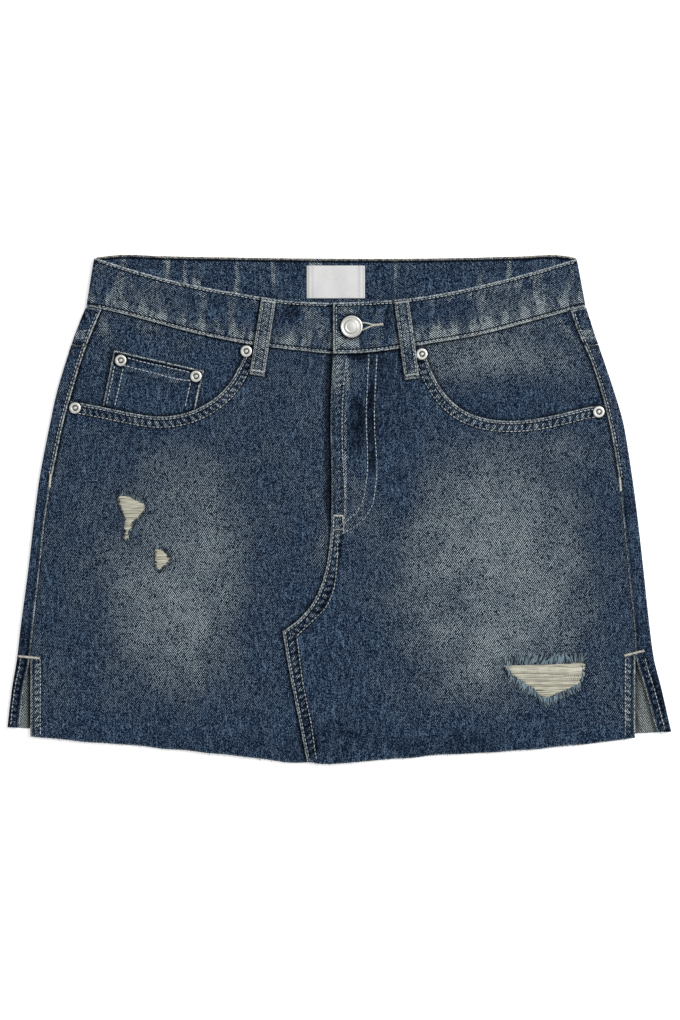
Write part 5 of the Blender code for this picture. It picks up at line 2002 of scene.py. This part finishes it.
    def loops(self, loops: Sequence[BeltLoop]) -> list[Row]:
        """Two rows down each belt loop."""
        rows = []
        for loop in loops:
            upper, lower, along, across = loop.lines()
            for distance in (-3.7, 3.7):
                rows.append(Row([tuple(upper + along * 1.5 + across * distance),
                                 tuple(lower - along * 1.5 + across * distance)], loop.top))
        return rows

    def build(self, finishes: Finishes, loops: Sequence[BeltLoop]) -> None:
        """Sews every row, bar tack and the buttonhole.

        Args:
            finishes: The skirt's finishes.
            loops: The belt loops.
        """
        sew = self.sewing
        for name, rows, slot in (
                ("scoops", self.scoops(), "denim"), ("fly", self.fly(), "denim"),
                ("sides", self.sides(), "denim"), ("coin_pocket", self.coin(), "denim"),
                ("strips_and_back", self.strips(), "denim"), ("waistband", self.band(), "denim_band"),
                ("belt_loops", self.loops(loops), "denim_band")):
            sew.rows(f"stitches_{name}", rows, finishes.stitch, slot)
        left = self.fronts.pieces[Side.LEFT].top
        over_left = lambda x, y: np.maximum(front_left_height(x, y), BODY_TOP)
        over_right = lambda x, y: np.maximum(front_right_height(x, y), BODY_TOP)
        for name, lines, top in (
                ("tack_fly", [([(-4.2, -5.0), (2.3, -5.0)], 1.2, 0.5),
                              ([(2.5, -5.2), (2.7, -11.0)], 0.7, 0.7),
                              ([(-4.4, -16.6), (-2.2, -15.4), (0.6, -15.7), (2.8, -14.6)], 0.45, 0.9)], left),
                ("tack_vent_left", [([(219.5, -112.7), (234.2, -109.0)], 1.7, 0.5)], over_left),
                ("tack_vent_right", [([(-246.9, -113.3), (-231.0, -114.8)], 1.7, 0.5)], over_right),
                ("tack_side_left", [([(215.8, 24.1), (216.6, 14.1)], 1.6, 0.5)], over_left),
                ("tack_side_right", [([(-222.5, 26.8), (-223.3, 17.1)], 1.6, 0.5)], over_right)):
            sew.satin(name, lines, top, finishes.tack, "denim")
        for loop in loops:
            upper, lower, along, across = loop.lines()
            lines = [([tuple(end + along * inward + across * reach) for reach in (-4.6, 4.6)], 1.2, 0.6)
                     for end, inward in ((upper, 2.6), (lower, -3.4))]
            sew.satin(f"tacks_belt_loop_{loop.side.label}", lines, loop.top, finishes.stitch, "denim_band")
        band = lambda x, y: band_height(Side.LEFT, x, y) - 0.15
        sew.satin("buttonhole_stitches",
                  [([(16.6, 143.4), (20.5, 143.2), (24.0, 142.3), (26.0, 141.6)], 0.9, 0.5),
                   ([(16.6, 137.6), (20.5, 139.0), (24.0, 140.6), (26.0, 141.4)], 0.9, 0.5),
                   ([(26.0, 141.5), (33.2, 142.2)], 2.0, 0.6)], band, finishes.tack, "denim_band")


# ---- fray and rips

@dataclass(frozen=True)
class Rip:
    """A worn-through place: the blue warp is gone and the pale weft still crosses it."""

    name: str
    outline: tuple[Point, ...]
    tuft: float
    tufts: int
    side: Side
    pitch: float = 0.44

    def margin(self) -> Array:
        """The middle line of the broken ends round the place, whose outline runs clockwise."""
        line = even_line(self.outline + self.outline[:1], 1.5)
        return line + np.stack([np.zeros(len(line)), np.gradient(line[:, 0]) / 1.5 * self.tuft * 0.4], axis=1)

    def spans(self, y: float) -> list[Point]:
        """Where the place lies at height y, as (from, to) in X."""
        points = np.array(self.outline)
        ends = []
        for (x0, y0), (x1, y1) in zip(points, np.roll(points, -1, axis=0)):
            if (y0 - y) * (y1 - y) < 0:
                ends.append(x0 + (x1 - x0) * (y - y0) / (y1 - y0))
        ends.sort()
        return list(zip(ends[::2], ends[1::2]))


class Wear:
    """The rips and the frayed raw hem."""

    RIPS = (
        Rip("rip_upper", ((-170.5, 10.0), (-162.3, 9.5), (-156.5, 6.7), (-150.7, 3.8), (-150.7, -1.1),
                          (-156.0, -6.8), (-159.9, -10.2), (-160.8, -15.0), (-163.4, -17.4), (-162.6, -22.0),
                          (-164.9, -23.6), (-166.2, -21.4), (-164.4, -17.4), (-165.2, -14.1), (-164.7, -6.4),
                          (-168.0, 0.4)), 3.6, 150, Side.RIGHT),
        Rip("rip_lower", ((-141.6, -31.2), (-138.0, -31.0), (-133.6, -34.2), (-130.6, -38.8), (-134.0, -42.6),
                          (-138.6, -46.6), (-141.4, -43.4)), 3.4, 110, Side.RIGHT),
        Rip("rip_large", ((127.6, -120.6), (145.0, -119.9), (168.0, -119.4), (187.6, -118.4), (187.2, -127.0),
                          (185.0, -133.5), (172.0, -139.6), (158.5, -145.0), (154.0, -142.4), (149.5, -137.6),
                          (141.0, -132.6), (132.5, -127.4)), 8.0, 460, Side.LEFT, 0.54),
    )

    def __init__(self, fronts: Fronts) -> None:
        """Keeps the panels that are worn."""
        self.fronts = fronts
        self.random = np.random.default_rng(SEED + 1)

    def weft(self, rip: Rip, finishes: Finishes) -> Thing:
        """Lays the pale crosswise yarns of a rip.

        Args:
            rip: The rip.
            finishes: The skirt's finishes.

        Returns:
            The object.
        """
        top = self.fronts.pieces[rip.side].top
        low, high = min(y for _, y in rip.outline), max(y for _, y in rip.outline)
        share = np.linspace(0, 1, 14)
        paths = []
        for y in np.arange(low + 0.2, high, rip.pitch):
            for start, end in rip.spans(y):
                over = 0.25 * rip.tuft
                start = start - over * self.random.uniform(0.2, 1.0)
                end = end + over * self.random.uniform(0.2, 1.0)
                x = start + (end - start) * share
                lean = self.random.normal(0, 0.25)
                path_y = y + 0.22 * wobble(x / 5 + y * 2.3, y) + lean * (share - 0.5) * 2
                z = top(x, path_y) + 0.26 + self.random.uniform(-0.1, 0.22)
                z = z - 0.42 * (1 - np.clip(np.minimum(share, 1 - share) * (end - start) / 1.6, 0, 1))
                paths.append(np.column_stack([x, path_y, z]))
        radii = 0.34 * self.random.uniform(0.75, 1.2, (len(paths), 1))
        shades = self.random.uniform(0.05, 0.85, len(paths))
        return yarns(f"{rip.name}_weft", "denim", finishes.weft, paths, radii, shades, sides=6, flat=0.8)

    def tufts(self, rip: Rip, finishes: Finishes) -> Thing:
        """Lays the broken blue warp ends round a rip.

        Args:
            rip: The rip.
            finishes: The skirt's finishes.

        Returns:
            The object.
        """
        top = self.fronts.pieces[rip.side].top
        outline = np.array(rip.outline + rip.outline[:1])
        length, share = travelled(outline), np.linspace(0, 1, 7)
        paths, shades = [], []
        for index in range(rip.tufts):
            at = (index + self.random.uniform(0, 1)) / rip.tufts * length[-1]
            pale, skipped, rank = self.random.uniform(0, 1, 3)
            root = np.array([np.interp(at, length, outline[:, axis]) for axis in (0, 1)])
            step = np.array([np.interp(at + 0.5, length, outline[:, axis]) for axis in (0, 1)]) - root
            crosswise = abs(step[0]) / max(np.linalg.norm(step), 1e-6)
            if skipped > 0.2 + 1.6 * crosswise:
                continue
            away = 1.0 if step[0] > 0 else -1.0
            reach = rip.tuft * self.random.uniform(0.65, 1.0) * (0.35 + 0.65 * crosswise)
            reach = reach * (1.0 if away > 0 else 0.9)
            root[1] += away * self.random.uniform(-0.6, 0.3 * reach)
            angle = math.pi / 2 * away + 0.35 * float(wobble(np.array(at / 7), 3.0))
            angle = angle + self.random.normal(0, 0.16)
            bend = self.random.normal(-0.3 * away, 0.35)
            heading = angle + bend * share
            moves = np.column_stack([np.cos(heading), np.sin(heading)]) * reach / 6
            plan = root + self.random.normal(0, 0.35, 2) + np.vstack([[0, 0], np.cumsum(moves[1:], axis=0)])
            z = top(plan[:, 0], plan[:, 1]) + 0.12 + 0.5 * rank * np.sin(3 * share)
            paths.append(np.column_stack([plan, z]))
            shades.append(0.9 * pale + 0.3 * (rip.tuft < 5) if pale < 0.6 else 1.1)
        radii = 0.38 * self.random.uniform(0.8, 1.3, (len(paths), 1)) * (1.1 - 0.5 * share)
        return yarns(f"{rip.name}_warp_tufts", "denim", finishes.warp, paths, radii, shades, flat=0.8)

    def fray(self, name: str, lines: Sequence[tuple[Array, Surface]], finishes: Finishes) -> Thing:
        """Lays short loose ends along raw hems.

        Args:
            name: The piece's name.
            lines: Each hem with its cloth's top.
            finishes: The skirt's finishes.

        Returns:
            The object.
        """
        paths, shades, share = [], [], np.linspace(0, 1, 5)
        for line, top in lines:
            length = travelled(line)
            for at in np.arange(0.5, length[-1], 0.62):
                at = at + self.random.uniform(-0.3, 0.3)
                root = np.array([np.interp(at, length, line[:, axis]) for axis in (0, 1)])
                long_end = self.random.uniform() < 0.05
                reach = self.random.uniform(1.6, 3.2) if long_end else self.random.uniform(0.35, 1.3)
                heading = -math.pi / 2 + self.random.normal(0, 0.65) + self.random.normal(0, 0.7) * share
                moves = np.column_stack([np.cos(heading), np.sin(heading)]) * reach / 4
                plan = root + np.array([0, 0.5]) + np.vstack([[0, 0], np.cumsum(moves[1:], axis=0)])
                z = np.full(5, float(top(root[:1], root[1:] + 1.0)[0])) - self.random.uniform(0.1, 0.9)
                paths.append(np.column_stack([plan, z]))
                shades.append(self.random.uniform(0.0, 0.9))
        return yarns(name, "denim", finishes.warp, paths, 0.17 * np.linspace(1.1, 0.6, 5), shades)

    def build(self, finishes: Finishes) -> None:
        """Makes the rips and the frayed hems."""
        for rip in self.RIPS:
            self.weft(rip, finishes)
            self.tufts(rip, finishes)
        fronts = [(even_line(HEM[side.label], 1.0), HEIGHTS[f"front_{side.label}"]) for side in Side]
        self.fray("hem_fray_front", fronts, finishes)
        backs = []
        for side in Side:
            fold, seam = (float(side_value(name, side, side.back_hem)) for name in ("fold", "seam"))
            corner = (side.sign * (fold - 2), side.back_hem)
            backs += [(even_line([(side.sign * 0.2, BACK_HEM_CENTRE), corner], 1.0), flat_at(CLOTH)),
                      (even_line([corner, (side.sign * seam, side.back_hem)], 1.0), flat_at(BODY_TOP))]
        self.fray("hem_fray_back", backs, finishes)


# ---- studio

@dataclass(frozen=True)
class Studio:
    """The pale floor, the soft light and the camera straight above."""

    lens: float = 100.0
    frame_height: float = 785.4
    centre: Point = (0.4, -0.6)
    level: float = 4.0
    floor_level: float = -0.4
    floor_reach: float = 3500.0
    sensor: float = 36.0
    key_energy: float = 330.0
    fill: float = 0.56

    def light(self, name: str, at: tuple[float, float, float], size: float, energy: float) -> None:
        """Adds a soft square light that faces the skirt.

        Args:
            name: Its name.
            at: Its place, in metres.
            size: Its side, in metres.
            energy: Its power, in watts.
        """
        data = bpy.data.lights.new(name, "AREA")
        data.shape, data.size, data.energy = "SQUARE", size, energy
        obj = bpy.data.objects.new(name, data)
        obj.location = at
        back = np.array(at) / np.linalg.norm(at)
        obj.rotation_euler = (0, math.acos(back[2]), math.atan2(back[1], back[0]))
        bpy.context.scene.collection.objects.link(obj)

    def build(self, finishes: Finishes) -> None:
        """Sets up the floor, the lights and the camera."""
        corners = np.array([(x * self.floor_reach, y * self.floor_reach, self.floor_level)
                            for x, y in ((-1, -1), (1, -1), (1, 1), (-1, 1))])
        floor = add_mesh("floor", corners, [[0, 1, 2, 3]], [finishes.floor], smooth=False)
        world = bpy.data.worlds.new("studio")
        world.use_nodes = True
        background = world.node_tree.nodes["Background"]
        background.inputs["Color"].default_value = (1.0, 1.0, 1.0, 1.0)
        background.inputs["Strength"].default_value = self.fill
        bpy.context.scene.world = world
        self.light("key", (3.6, 2.1, 4.1), 2.6, self.key_energy)
        data = bpy.data.cameras.new("camera")
        data.lens, data.sensor_width, data.clip_end = self.lens, self.sensor, 20.0
        camera = bpy.data.objects.new("camera", data)
        distance = self.frame_height * self.lens / self.sensor
        camera.location = (self.centre[0] * MM, self.centre[1] * MM, (distance + self.level) * MM)
        bpy.context.scene.collection.objects.link(camera)
        bpy.context.scene.camera = camera
        bpy.context.scene.view_settings.view_transform = "Standard"
        bpy.context.scene.cycles.use_denoising = False


# ---- the whole skirt


def main() -> None:
    """Builds the skirt and its studio, piece by piece."""
    logging.basicConfig(level=logging.INFO, format="%(name)s: %(message)s")
    finishes = Finishes()
    Studio().build(finishes)
    Back().build(finishes)
    fronts, pockets = Fronts(), Pockets()
    fronts.build(finishes)
    pockets.build(finishes)
    Waistband().build(finishes)
    loops = [BeltLoop(side, HEIGHTS[f"front_{side.label}"]) for side in Side]
    for loop in loops:
        loop.build(finishes)
    BlankLabel().build(finishes)
    Hardware().build(finishes)
    Seams(fronts, pockets, Sewing()).build(finishes, loops)
    Wear(fronts).build(finishes)


if __name__ == "__main__":
    main()
